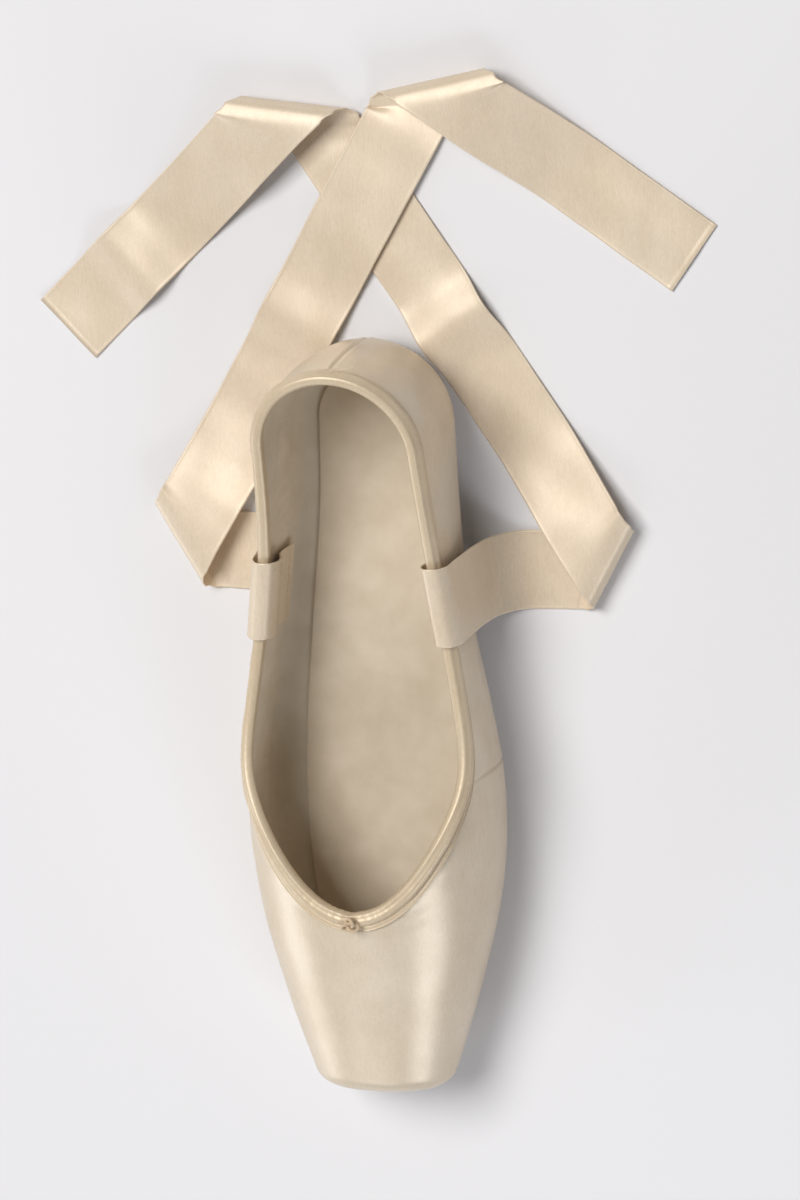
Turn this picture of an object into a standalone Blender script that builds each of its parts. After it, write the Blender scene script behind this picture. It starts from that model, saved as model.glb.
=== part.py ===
"""Pointe shoe on a straight last: satin upper, leather outsole, insole, drawstring casing and knot, ribbons.

Metres, +Z up, toe towards -Y, standing on its outsole with the origin under the middle of the shoe.
"""
import math

import bmesh
import bpy
import numpy as np

# Driving sizes of the shoe
LENGTH = 0.236
BALL_WIDTH = 0.079
HEEL_WIDTH = 0.0548
PLATFORM_WIDTH = 0.042
PLATFORM_HEIGHT = 0.029
PLATFORM_EDGE = 0.0044
INSTEP_HEIGHT = 0.050
HEEL_HEIGHT = 0.0575
TOE_SPRING = 0.0030
ARCH_RISE = 0.0035
VAMP_LENGTH = 0.0625
THROAT_RADIUS = 0.016
THROAT_EASE = 0.010

# Thicknesses and clearances
BOX_WALL = 0.0030
QUARTER_WALL = 0.0020
OUTSOLE_THICKNESS = 0.0022
OUTSOLE_BEVEL = 0.0005
INSOLE_THICKNESS = 0.0010
INSOLE_BEVEL = 0.0003
GAP = 0.0004
FACET_GAP = 0.0007

# Outsole, opening that it closes and insole; each start is a distance behind the one before
OUTSOLE_START = 0.022
OUTSOLE_TIP_RADIUS = 0.008
OPENING_SETBACK = 0.014
OPENING_TIP_RADIUS = 0.007
MARGIN = 0.007
INSOLE_LAP = 0.006
INSOLE_TIP_RADIUS = 0.020
INSOLE_SHARE = 0.72

# Casing of the drawstring and its knot
CASING_DEPTH = 0.0050
CASING_SWELL = 0.0011
CASING_EDGE = 0.0004
KNOT_WIDTH = 0.0056
KNOT_HEIGHT = 0.0046
KNOT_DEPTH = 0.0014
KNOT_CORD = 0.0010

# Ribbons
RIBBON_WIDTH = 0.025
RIBBON_THICKNESS = 0.0006

HEEL_RADIUS = HEEL_WIDTH / 2
HEEL_CENTRE = LENGTH - HEEL_RADIUS
LAST_END = HEEL_CENTRE + HEEL_RADIUS * math.pi / 2
OPENING_START = OUTSOLE_START + OPENING_SETBACK
INSOLE_START = OPENING_START - INSOLE_LAP

# Places are shares of LAST_END, the way along one side from the platform to the back of the heel.
# Width of the last, as shares of the platform, ball and heel widths added together
WIDTHS = (
    (0.000, 1.00, 0.000, 0.000),
    (0.075, 0.50, 0.420, 0.000),
    (0.150, 0.15, 0.742, 0.000),
    (0.225, 0.00, 0.932, 0.000),
    (0.319, 0.00, 1.000, 0.000),
    (0.413, 0.00, 0.978, 0.000),
    (0.506, 0.00, 0.800, 0.130),
    (0.600, 0.00, 0.500, 0.425),
    (0.694, 0.00, 0.200, 0.757),
    (0.825, 0.00, 0.000, 1.000),
    (0.919, 0.00, 0.000, 1.000),
    (1.000, 0.00, 0.000, 1.000),
)
# Top: crown of the vamp, then edge of the collar, as shares of the platform, instep and heel heights
TOPS = (
    (0.000, 1.00, 0.110, 0.000),
    (0.075, 0.50, 0.500, 0.000),
    (0.150, 0.15, 0.793, 0.000),
    (0.225, 0.00, 0.960, 0.000),
    (0.319, 0.00, 0.960, 0.000),
    (0.413, 0.00, 0.780, 0.057),
    (0.506, 0.00, 0.600, 0.161),
    (0.600, 0.00, 0.420, 0.309),
    (0.694, 0.00, 0.260, 0.496),
    (0.825, 0.00, 0.100, 0.783),
    (0.919, 0.00, 0.000, 0.970),
    (1.000, 0.00, 0.000, 1.000),
)
# Height of the widest line as a share of the instep height, then how full the section is below and above it
FULLNESS = (
    (0.000, 0.390, 2.2, 2.1),
    (0.075, 0.390, 2.5, 2.1),
    (0.150, 0.380, 3.0, 2.2),
    (0.225, 0.370, 3.6, 2.2),
    (0.319, 0.360, 3.9, 2.2),
    (0.413, 0.360, 4.0, 2.2),
    (0.600, 0.400, 4.0, 2.2),
    (0.825, 0.440, 4.0, 2.2),
    (1.000, 0.440, 4.0, 2.2),
)
# Lift of the underside, as shares of the toe spring and the arch rise
UNDERSIDE = (
    (0.000, 1.00, 0.00),
    (0.075, 0.40, 0.00),
    (0.150, 0.00, 0.00),
    (0.394, 0.00, 0.00),
    (0.506, 0.00, 0.69),
    (0.600, 0.00, 1.00),
    (0.675, 0.00, 0.49),
    (0.750, 0.00, 0.00),
    (1.000, 0.00, 0.00),
)
# Width of the collar seen from above, as a share of the shoe's width there
COLLAR = (
    (0.190, 0.960),
    (0.420, 0.955),
    (0.610, 0.950),
    (0.825, 0.915),
    (1.000, 0.880),
)
# Width of the outsole, as shares of the ball and heel widths
OUTSOLE = (
    (0.090, 0.400, 0.000),
    (0.188, 0.515, 0.000),
    (0.310, 0.600, 0.000),
    (0.413, 0.560, 0.000),
    (0.506, 0.330, 0.144),
    (0.600, 0.150, 0.317),
    (0.694, 0.000, 0.577),
    (0.825, 0.000, 0.692),
    (1.000, 0.000, 0.771),
)

# Routes of the ribbons, chosen by hand: x, y and z of the middle line, then the direction across the ribbon.
# Each starts sewn inside its quarter, goes over the casing to the floor, folds over, crosses and folds again.
RIBBON_RIGHT = (
    (0.0270, 0.0410, 0.0140, -0.13, 1.00, 0.09),
    (0.0266, 0.0410, 0.0290, -0.13, 1.00, 0.09),
    (0.0248, 0.0410, 0.0340, -0.13, 1.00, 0.09),
    (0.0244, 0.0410, 0.0390, -0.13, 1.00, 0.09),
    (0.0260, 0.0410, 0.0420, -0.13, 1.00, 0.09),
    (0.0296, 0.0410, 0.0423, -0.13, 1.00, 0.09),
    (0.0320, 0.0412, 0.0394, -0.13, 1.00, 0.09),
    (0.0328, 0.0416, 0.0335, -0.13, 1.00, 0.06),
    (0.0334, 0.0420, 0.0250, -0.12, 1.00, 0.03),
    (0.0344, 0.0424, 0.0150, -0.10, 1.00, 0.00),
    (0.0370, 0.0430, 0.0065, -0.07, 1.00, 0.00),
    (0.0425, 0.0436, 0.0016, -0.04, 1.00, 0.00),
    (0.0520, 0.0440, 0.0008, 0.00, 1.00, 0.00),
    (0.0600, 0.0443, 0.0008, 0.00, 1.00, 0.00),
    (0.0680, 0.0445, 0.0008, 0.47, 0.88, 0.00),
    (0.0714, 0.0447, 0.0019, 0.47, 0.88, 0.00),
    (0.0734, 0.0456, 0.0049, 0.47, 0.88, 0.00),
    (0.0731, 0.0478, 0.0079, 0.47, 0.88, 0.00),
    (0.0713, 0.0507, 0.0091, 0.47, 0.88, 0.00),
    (0.0646, 0.0606, 0.0077, 0.83, 0.56, 0.00),
    (0.0568, 0.0723, 0.0042, 0.83, 0.56, 0.00),
    (0.0489, 0.0839, 0.0015, 0.83, 0.56, 0.00),
    (0.0400, 0.0971, 0.0008, 0.83, 0.56, 0.00),
    (0.0311, 0.1104, 0.0008, 0.83, 0.56, 0.00),
    (0.0243, 0.1203, 0.0042, 0.83, 0.56, 0.00),
    (0.0176, 0.1303, 0.0009, 0.83, 0.56, 0.00),
    (0.0087, 0.1435, 0.0008, 0.83, 0.56, 0.00),
    (-0.0092, 0.1701, 0.0008, 0.83, 0.56, 0.00),
    (-0.0181, 0.1833, 0.0008, 0.99, -0.10, 0.00),
    (-0.0207, 0.1868, 0.0020, 0.99, -0.10, 0.00),
    (-0.0235, 0.1884, 0.0052, 0.99, -0.10, 0.00),
    (-0.0266, 0.1874, 0.0084, 0.99, -0.10, 0.00),
    (-0.0299, 0.1845, 0.0097, 0.99, -0.10, 0.00),
    (-0.0392, 0.1755, 0.0082, 0.69, -0.72, 0.00),
    (-0.0493, 0.1657, 0.0044, 0.69, -0.72, 0.00),
    (-0.0594, 0.1560, 0.0015, 0.69, -0.72, 0.00),
    (-0.0702, 0.1456, 0.0008, 0.69, -0.72, 0.00),
    (-0.0788, 0.1372, 0.0040, 0.69, -0.72, 0.00),
    (-0.0874, 0.1289, 0.0008, 0.69, -0.72, 0.00),
    (-0.1010, 0.1157, 0.0008, 0.69, -0.72, 0.00),
)
RIBBON_LEFT = (
    (-0.0270, 0.0410, 0.0140, 0.13, 1.00, 0.09),
    (-0.0266, 0.0410, 0.0290, 0.13, 1.00, 0.09),
    (-0.0248, 0.0410, 0.0340, 0.13, 1.00, 0.09),
    (-0.0244, 0.0410, 0.0390, 0.13, 1.00, 0.09),
    (-0.0260, 0.0410, 0.0420, 0.13, 1.00, 0.09),
    (-0.0296, 0.0410, 0.0423, 0.13, 1.00, 0.09),
    (-0.0320, 0.0413, 0.0394, 0.13, 1.00, 0.09),
    (-0.0328, 0.0420, 0.0335, 0.13, 1.00, 0.06),
    (-0.0332, 0.0430, 0.0250, 0.11, 1.00, 0.03),
    (-0.0338, 0.0442, 0.0150, 0.09, 1.00, 0.00),
    (-0.0358, 0.0454, 0.0065, 0.05, 1.00, 0.00),
    (-0.0405, 0.0463, 0.0016, 0.02, 1.00, 0.00),
    (-0.0495, 0.0468, 0.0008, 0.00, 1.00, 0.00),
    (-0.0600, 0.0470, 0.0008, -0.50, 0.87, 0.00),
    (-0.0634, 0.0472, 0.0019, -0.50, 0.87, 0.00),
    (-0.0653, 0.0481, 0.0047, -0.50, 0.87, 0.00),
    (-0.0652, 0.0503, 0.0075, -0.50, 0.87, 0.00),
    (-0.0636, 0.0533, 0.0087, -0.50, 0.87, 0.00),
    (-0.0576, 0.0637, 0.0073, -0.87, 0.50, 0.00),
    (-0.0506, 0.0758, 0.0038, -0.87, 0.50, 0.00),
    (-0.0436, 0.0879, 0.0013, -0.87, 0.50, 0.00),
    (-0.0376, 0.0983, 0.0008, -0.87, 0.50, 0.00),
    (-0.0316, 0.1087, 0.0008, -0.87, 0.50, 0.00),
    (-0.0256, 0.1191, 0.0036, -0.87, 0.50, 0.00),
    (-0.0186, 0.1312, 0.0020, -0.87, 0.50, 0.00),
    (-0.0116, 0.1434, 0.0025, -0.87, 0.50, 0.00),
    (0.0024, 0.1676, 0.0025, -0.87, 0.50, 0.00),
    (0.0094, 0.1797, 0.0020, -0.87, 0.50, 0.00),
    (0.0154, 0.1901, 0.0008, -0.98, -0.22, 0.00),
    (0.0178, 0.1937, 0.0020, -0.98, -0.22, 0.00),
    (0.0205, 0.1956, 0.0050, -0.98, -0.22, 0.00),
    (0.0238, 0.1951, 0.0080, -0.98, -0.22, 0.00),
    (0.0275, 0.1928, 0.0093, -0.98, -0.22, 0.00),
    (0.0381, 0.1853, 0.0078, -0.57, -0.82, 0.00),
    (0.0496, 0.1773, 0.0042, -0.57, -0.82, 0.00),
    (0.0611, 0.1693, 0.0014, -0.57, -0.82, 0.00),
    (0.0725, 0.1612, 0.0008, -0.57, -0.82, 0.00),
    (0.0848, 0.1526, 0.0008, -0.57, -0.82, 0.00),
    (0.1000, 0.1420, 0.0008, -0.57, -0.82, 0.00),
)


def smooth(rows, column):
    """Cubic spline through one column of a table, level at its last row."""
    x = np.array([row[0] for row in rows])
    y = np.array([row[column] for row in rows])
    step = np.diff(x)
    rise = np.diff(y) / step
    count = len(x)
    system = np.zeros((count, count))
    right = np.zeros(count)
    system[0, 0], system[0, 1], right[0] = 2, 1, 3 * rise[0]
    for i in range(1, count - 1):
        system[i, i - 1] = step[i]
        system[i, i] = 2 * (step[i - 1] + step[i])
        system[i, i + 1] = step[i - 1]
        right[i] = 3 * (step[i] * rise[i - 1] + step[i - 1] * rise[i])
    system[-1, -1] = 1
    slope = np.linalg.solve(system, right)
    return lambda at: hermite(x, y, slope, at)


def steady(rows, column):
    """Monotone cubic through one column of a table: level rows stay level."""
    x = np.array([row[0] for row in rows])
    y = np.array([row[column] for row in rows])
    step = np.diff(x)
    rise = np.diff(y) / step
    slope = np.zeros(len(x))
    slope[0] = rise[0]
    for i in range(1, len(x) - 1):
        if rise[i - 1] * rise[i] > 0:
            before = 2 * step[i] + step[i - 1]
            after = step[i] + 2 * step[i - 1]
            slope[i] = (before + after) / (before / rise[i - 1] + after / rise[i])
    return lambda at: hermite(x, y, slope, at)


def hermite(x, y, slope, at):
    i = int(np.clip(np.searchsorted(x, at) - 1, 0, len(x) - 2))
    step = x[i + 1] - x[i]
    u = (at - x[i]) / step
    start = y[i] * (1 + 2 * u) * (1 - u) ** 2 + slope[i] * step * u * (1 - u) ** 2
    end = y[i + 1] * u * u * (3 - 2 * u) + slope[i + 1] * step * u * u * (u - 1)
    return float(start + end)


def blend(fit, rows, sizes):
    """Sum of named sizes, each times the curve through its own column of shares."""
    curves = [fit(rows, column + 1) for column in range(len(sizes))]
    return lambda place: sum(size * curve(place / LAST_END) for size, curve in zip(sizes, curves))


last_width = blend(smooth, WIDTHS, (PLATFORM_WIDTH, BALL_WIDTH, HEEL_WIDTH))
last_top = blend(smooth, TOPS, (PLATFORM_HEIGHT, INSTEP_HEIGHT, HEEL_HEIGHT))
widest_height = blend(smooth, FULLNESS, (INSTEP_HEIGHT,))
fullness_below = blend(smooth, [(row[0], row[2]) for row in FULLNESS], (1,))
fullness_above = blend(smooth, [(row[0], row[3]) for row in FULLNESS], (1,))
lift = blend(steady, UNDERSIDE, (TOE_SPRING, ARCH_RISE))
collar_share = blend(smooth, COLLAR, (1,))
outsole_width = blend(smooth, OUTSOLE, (BALL_WIDTH, HEEL_WIDTH))


def lesser(a, b):
    """Smooth lesser of two positive sizes."""
    if a <= 0:
        return 0.0
    power = 12
    return (a ** -power + b ** -power) ** (-1 / power)


def round_start(distance, radius):
    """Half width of a rounded end at a distance from its tip."""
    return math.sqrt(2 * radius * max(distance, 0))


def edge_inset(place):
    """How far the rounded platform edge stands in from the last's own outline."""
    run = PLATFORM_EDGE - place
    if run <= 0:
        return 0.0
    return PLATFORM_EDGE - math.sqrt(max(PLATFORM_EDGE ** 2 - run ** 2, 0))


def underside(place):
    return OUTSOLE_THICKNESS + GAP + lift(place)


def eased(run, ease):
    """A run that begins softly: close to nothing before its start, and the run itself well after it."""
    return (run + math.hypot(run, ease)) / 2


def collar_half(place, half_width):
    """Half width of the collar opening: round at the throat, then a steady share of the shoe's width."""
    share = collar_share(place) * half_width
    if place >= HEEL_CENTRE:
        return share
    return lesser(round_start(place - VAMP_LENGTH, THROAT_RADIUS), share)


def section(place):
    """Half width, underside, widest height, crown, fullness below and above, collar half width."""
    inset = edge_inset(place)
    half_width = last_width(place) / 2 - inset
    widest = widest_height(place)
    top = last_top(place) - inset
    above = fullness_above(place)
    collar = collar_half(place, half_width)
    spread = collar_half(VAMP_LENGTH + eased(place - VAMP_LENGTH, THROAT_EASE), half_width)
    open_share = (spread / half_width) ** above
    crown = widest + (top - widest) / (1 - open_share) ** (1 / above)
    return half_width, underside(place) + inset, widest, crown, fullness_below(place), above, collar


def outside(place, reach, height):
    """Less than zero inside the last, zero on its surface, more outside."""
    half_width, low, widest, crown, below, above, _ = section(place)
    if height < widest:
        return (reach / half_width) ** below + ((widest - height) / (widest - low)) ** below - 1
    return (reach / half_width) ** above + ((height - widest) / (crown - widest)) ** above - 1


def locate(place, reach, height, side):
    """World point of a place along the last: straight sections, then a fan round the heel centre."""
    if place <= HEEL_CENTRE:
        return np.array((side * reach, place - LENGTH / 2, height))
    turn = (place - HEEL_CENTRE) / HEEL_RADIUS
    return np.array((side * reach * math.cos(turn), HEEL_CENTRE - LENGTH / 2 + reach * math.sin(turn), height))


def unlocate(point):
    """Place, reach and height of a world point."""
    x, y, z = point
    along = y + LENGTH / 2
    if along <= HEEL_CENTRE:
        return along, abs(x), z
    turn = math.atan2(along - HEEL_CENTRE, abs(x))
    return HEEL_CENTRE + HEEL_RADIUS * turn, math.hypot(x, along - HEEL_CENTRE), z


def signed(point):
    place, reach, height = unlocate(point)
    return outside(max(place, 0.0), reach, height)


def normal_at(point):
    """Outward direction of the last's surface at a world point."""
    if point[1] < -LENGTH / 2 + 1e-7:
        return np.array((0.0, -1.0, 0.0))
    slope = np.zeros(3)
    step = 2e-6
    for axis in range(3):
        ahead = np.array(point, dtype=float)
        behind = ahead.copy()
        ahead[axis] += step
        behind[axis] -= step
        slope[axis] = signed(ahead) - signed(behind)
    if abs(point[0]) < 1e-7:
        slope[0] = 0.0
    return slope / np.linalg.norm(slope)


def on_surface(point, direction):
    """Slide a point along a direction onto the last's surface."""
    shift, step = 0.0, 1e-5
    for _ in range(12):
        value = signed(point + shift * direction)
        change = signed(point + (shift + step) * direction) - value
        move = -value * step / change
        shift += max(-0.001, min(0.001, move))
        if abs(move) < 1e-8:
            break
    return point + shift * direction


def wall(place):
    """Wall thickness: stiff glued box at the toe, then thinner quarters."""
    share = min(max((place - VAMP_LENGTH) / VAMP_LENGTH, 0), 1)
    share = share * share * (3 - 2 * share)
    return BOX_WALL + (QUARTER_WALL - BOX_WALL) * share


def outsole_half(place):
    half_width = outsole_width(place) / 2
    if place >= HEEL_CENTRE:
        return half_width
    return lesser(round_start(place - OUTSOLE_START, OUTSOLE_TIP_RADIUS), half_width)


def opening_half(place):
    """Half width of the opening underneath, which the outsole closes with its margin."""
    half_width = outsole_width(place) / 2 - MARGIN
    if place >= HEEL_CENTRE:
        return half_width
    return lesser(round_start(place - OPENING_START, OPENING_TIP_RADIUS), half_width)


def insole_half(place):
    half_width = section(place)[0] - wall(place)
    share = INSOLE_SHARE * half_width
    if place >= HEEL_CENTRE:
        return share
    return lesser(round_start(place - INSOLE_START, INSOLE_TIP_RADIUS), share)


def half_section(place, lower_steps, upper_steps):
    """Reach and height of the points up one side, from the opening underneath to the collar."""
    half_width, low, widest, crown, below, above, collar = section(place)
    first = math.asin(min((opening_half(place) / half_width) ** (below / 2), 1))
    last = math.acos(min((collar / half_width) ** (above / 2), 1))
    points = []
    for turn in np.linspace(first, math.pi / 2, lower_steps + 1):
        reach = half_width * math.sin(turn) ** (2 / below)
        drop = (widest - low) * max(math.cos(turn), 0) ** (2 / below)
        points.append((reach, widest - drop))
    for turn in np.linspace(0, last, upper_steps + 1)[1:]:
        reach = half_width * max(math.cos(turn), 0) ** (2 / above)
        points.append((reach, widest + (crown - widest) * math.sin(turn) ** (2 / above)))
    return points


def stations():
    """Places of the sections, close together where the platform, the throat and the opening turn quickly."""
    edge = [PLATFORM_EDGE * (1 - math.sin(turn)) for turn in np.radians((90, 60, 32, 0))]
    box = list(np.linspace(3 * PLATFORM_EDGE, OPENING_START, 4))
    under = [OPENING_START + OPENING_TIP_RADIUS * share for share in (0.17, 0.64, 1.43)]
    vamp = [OPENING_START + 0.72 * (VAMP_LENGTH - OPENING_START), VAMP_LENGTH]
    throat = [VAMP_LENGTH + THROAT_RADIUS * share for share in (0.044, 0.16, 0.36, 0.62, 0.97, 1.38, 1.8)]
    rest = HEEL_CENTRE - throat[-1]
    quarter = [throat[-1] + rest * share for share in (0.05, 0.10, 0.15, 0.20, 0.25, 0.30, 0.36)]
    quarter += [throat[-1] + rest * share for share in (0.44, 0.53, 0.62, 0.72, 0.81, 0.90, 1.0)]
    heel = [HEEL_CENTRE + HEEL_RADIUS * turn for turn in np.linspace(0, math.pi / 2, 9)[1:]]
    return sorted(edge + box + under + vamp + throat + quarter + heel)


def add_object(name, vertices, faces, colour, roughness):
    mesh = bpy.data.meshes.new(name)
    mesh.from_pydata([tuple(float(c) for c in v) for v in vertices], [], faces)
    work = bmesh.new()
    work.from_mesh(mesh)
    bmesh.ops.remove_doubles(work, verts=work.verts, dist=0.000002)
    bmesh.ops.dissolve_degenerate(work, edges=work.edges, dist=0.000001)
    bmesh.ops.recalc_face_normals(work, faces=work.faces)
    work.to_mesh(mesh)
    work.free()
    thing = bpy.data.objects.new(name, mesh)
    bpy.context.scene.collection.objects.link(thing)
    material = bpy.data.materials.new(name)
    material.use_nodes = True
    shader = material.node_tree.nodes["Principled BSDF"]
    shader.inputs["Base Color"].default_value = (*colour, 1)
    shader.inputs["Roughness"].default_value = roughness
    mesh.materials.append(material)
    return thing


def make_upper():
    """One hollow wall: outer grid, inner grid a wall thickness inside it, joined at collar and opening."""
    places = stations()
    lower_steps, upper_steps = 7, 10
    count = lower_steps + upper_steps + 1
    vertices, faces = [], []
    index = {}
    for side in (1, -1):
        for i, place in enumerate(places):
            for j, (reach, height) in enumerate(half_section(place, lower_steps, upper_steps)):
                outer = locate(place, reach, height, side)
                if i == len(places) - 1:
                    outer[0] = 0.0
                inner = outer - wall(place) * normal_at(outer)
                for layer, point in enumerate((outer, inner)):
                    index[side, i, j, layer] = len(vertices)
                    vertices.append(point)
    for side in (1, -1):
        for i in range(len(places) - 1):
            for j in range(count - 1):
                for layer in (0, 1):
                    corners = ((i, j), (i + 1, j), (i + 1, j + 1), (i, j + 1))
                    faces.append([index[side, a, b, layer] for a, b in corners])
            rims = []
            if places[i] >= VAMP_LENGTH - 1e-9:
                rims.append(count - 1)
            if places[i] >= OPENING_START - 1e-9:
                rims.append(0)
            for j in rims:
                corners = ((i, 0), (i + 1, 0), (i + 1, 1), (i, 1))
                faces.append([index[side, a, j, layer] for a, layer in corners])
    for layer in (0, 1):
        ring = [index[1, 0, j, layer] for j in range(count)]
        ring += [index[-1, 0, j, layer] for j in range(count - 2, 0, -1)]
        faces.append(ring)
    return add_object("upper", vertices, faces, (0.82, 0.74, 0.62), 0.35)


def loft(name, rings, closed, colour, roughness):
    """Solid through equal rings of points, capped at both ends unless the rings close on themselves."""
    size = len(rings[0])
    vertices = [point for ring in rings for point in ring]
    faces = []
    for i in range(len(rings) if closed else len(rings) - 1):
        following = (i + 1) % len(rings)
        for j in range(size):
            across = (j + 1) % size
            faces.append([i * size + j, following * size + j, following * size + across, i * size + across])
    if not closed:
        faces.append(list(range(size)))
        faces.append([(len(rings) - 1) * size + j for j in range(size)])
    return add_object(name, vertices, faces, colour, roughness)


def slab_rings(places, half, bottom, thickness, chamfer):
    """Rings across a flat layer whose plan is the half width at each place, mirrored."""
    rings = []
    for place in places:
        reach = half(place)
        low = bottom(place)
        inset = max(reach - chamfer, reach / 2)
        profile = ((inset, low), (reach, low + chamfer), (reach, low + thickness - chamfer))
        profile += ((inset, low + thickness),)
        right = [locate(place, r, z, 1) for r, z in profile]
        left = [locate(place, r, z, -1) for r, z in reversed(profile)]
        rings.append(right + left)
    return rings


def slab_places(start, tip_radius, count):
    """Places along a layer: close together at its round tip, even to the heel, then round the heel."""
    tip = [start + tip_radius * share for share in (0.008, 0.08, 0.28, 0.65)]
    along = list(np.linspace(start + 1.2 * tip_radius, HEEL_CENTRE, count))
    heel = [HEEL_CENTRE + HEEL_RADIUS * math.radians(turn) for turn in (12, 24, 36, 48, 60, 71, 80, 86.5)]
    return tip + along + heel


def make_outsole():
    places = slab_places(OUTSOLE_START, OUTSOLE_TIP_RADIUS, 18)
    rings = slab_rings(places, outsole_half, lift, OUTSOLE_THICKNESS, OUTSOLE_BEVEL)
    return loft("outsole", rings, False, (0.62, 0.47, 0.33), 0.7)


def insole_bottom(place):
    """Lowest level at which the insole clears the curve of the wall at its own edge."""
    half_width, low, widest, _, below, _, _ = section(place)
    thickness = wall(place)
    share = insole_half(place) / (half_width - thickness)
    drop = (widest - low - thickness) * (1 - share ** below) ** (1 / below)
    return widest - drop + GAP


def make_insole():
    places = slab_places(INSOLE_START, INSOLE_TIP_RADIUS, 16)
    rings = slab_rings(places, insole_half, insole_bottom, INSOLE_THICKNESS, INSOLE_BEVEL)
    return loft("insole", rings, False, (0.80, 0.74, 0.66), 0.8)


def collar_frames():
    """Edge point, outward normal and the direction down the wall, all the way round the collar."""
    places = [place for place in stations() if place >= VAMP_LENGTH - 1e-9]
    right, left = [], []
    for place in places:
        half_width, _, widest, crown, _, above, collar = section(place)
        height = widest + (crown - widest) * (1 - (collar / half_width) ** above) ** (1 / above)
        right.append(locate(place, collar, height, 1))
        left.append(locate(place, collar, height, -1))
    right[-1][0] = 0.0
    loop = right + left[-2:0:-1]
    frames = []
    for i, point in enumerate(loop):
        along = loop[(i + 1) % len(loop)] - loop[i - 1]
        along /= np.linalg.norm(along)
        outward = normal_at(point)
        down = np.cross(along, outward)
        down /= np.linalg.norm(down)
        frames.append((point, outward, down))
    return frames


def casing_ring(point, outward, down):
    """Cross-section of the casing, folded over the edge of the wall with its clearance all round."""
    place = unlocate(point)[0]
    thickness = wall(place)
    swell, edge = CASING_SWELL, CASING_EDGE
    outer = ((0.5, 0.0), (1.0, 0.0), (1.0, edge), (0.85, edge), (0.72, swell), (0.35, 1.15 * swell), (0.0, swell))
    ring = []
    for share, rise in outer:
        base = on_surface(point + share * CASING_DEPTH * down, outward)
        ring.append(base + (FACET_GAP + rise) * normal_at(base))
    middle = point - 0.5 * thickness * outward
    ring.append(middle - (FACET_GAP + 0.9 * swell) * down + 0.45 * thickness * outward)
    ring.append(middle - (FACET_GAP + 0.9 * swell) * down - 0.45 * thickness * outward)
    for share, rise in reversed(outer[1:]):
        base = on_surface(point + share * CASING_DEPTH * down, outward)
        ring.append(base - (thickness + 1.3 * FACET_GAP + 0.8 * rise) * normal_at(base))
    ring.append(point - FACET_GAP * down - (thickness + FACET_GAP) * outward)
    ring.append(point - FACET_GAP * down + FACET_GAP * outward)
    return ring


def make_binding():
    rings = [casing_ring(*frame) for frame in collar_frames()]
    return loft("binding", rings, True, (0.78, 0.66, 0.52), 0.5)


def tube(path, radius, sides):
    """Rings of a round cord along a closed path."""
    rings = []
    for i, point in enumerate(path):
        along = path[(i + 1) % len(path)] - path[i - 1]
        along /= np.linalg.norm(along)
        first = np.cross(along, (0.0, 0.0, 1.0))
        first /= np.linalg.norm(first)
        second = np.cross(first, along)
        turns = np.linspace(0, 2 * math.pi, sides, endpoint=False)
        rings.append([point + radius * (math.cos(t) * first + math.sin(t) * second) for t in turns])
    return rings


def make_knot():
    """Drawstring knot on the casing at the middle of the throat: a trefoil curve lying on it."""
    point, outward, down = collar_frames()[0]
    lift_off = FACET_GAP + 1.15 * CASING_SWELL + GAP + KNOT_DEPTH / 2 + KNOT_CORD / 2
    centre = point + 0.25 * CASING_DEPTH * down + lift_off * outward
    across = np.array((1.0, 0.0, 0.0))
    path = []
    for turn in np.linspace(0, 2 * math.pi, 42, endpoint=False):
        x = KNOT_WIDTH / 6 * (math.sin(turn) + 2 * math.sin(2 * turn))
        y = KNOT_HEIGHT / 6 * (math.cos(turn) - 2 * math.cos(2 * turn))
        z = KNOT_DEPTH / 2 * -math.sin(3 * turn)
        path.append(centre + x * across + y * down + z * outward)
    return loft("drawstring_knot", tube(path, KNOT_CORD / 2, 6), True, (0.78, 0.66, 0.52), 0.6)


def through(rows, steps):
    """Points through the rows of a route, each with the direction along it and the straight line across it."""
    table = np.array(rows)
    chord = np.linalg.norm(np.diff(table[:, :3], axis=0), axis=1)
    at = np.concatenate(([0.0], np.cumsum(chord)))
    slope = np.gradient(table, at, axis=0)
    points = []
    for i in range(len(table) - 1):
        for u in np.linspace(0, 1, steps, endpoint=False):
            points.append(between(table, slope, at, i, u))
    points.append(table[-1])
    points = np.array(points)
    along = np.gradient(points[:, :3], axis=0)
    along /= np.linalg.norm(along, axis=1)[:, None]
    across = points[:, 3:] / np.linalg.norm(points[:, 3:], axis=1)[:, None]
    return points[:, :3], along, across


def between(table, slope, at, i, u):
    step = at[i + 1] - at[i]
    start = table[i] * (1 + 2 * u) * (1 - u) ** 2 + slope[i] * step * u * (1 - u) ** 2
    end = table[i + 1] * u * u * (3 - 2 * u) + slope[i + 1] * step * u * u * (u - 1)
    return start + end


def make_ribbon(name, rows):
    points, along, across = through(rows, 2)
    rings = []
    for point, forward, wide in zip(points, along, across):
        face = np.cross(forward, wide)
        skew = np.linalg.norm(face)
        thick = face / skew * RIBBON_THICKNESS / 2
        half = wide / skew * RIBBON_WIDTH / 2
        rings.append([point + half + thick, point - half + thick, point - half - thick, point + half - thick])
    return loft(name, rings, False, (0.86, 0.76, 0.64), 0.35)


def clear_scene():
    for thing in list(bpy.data.objects):
        bpy.data.objects.remove(thing, do_unlink=True)


clear_scene()
make_upper()
make_outsole()
make_insole()
make_binding()
make_knot()
make_ribbon("ribbon_right", RIBBON_RIGHT)
make_ribbon("ribbon_left", RIBBON_LEFT)
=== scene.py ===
import math

import bpy
import numpy as np
from mathutils import Matrix, Vector, noise


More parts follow.
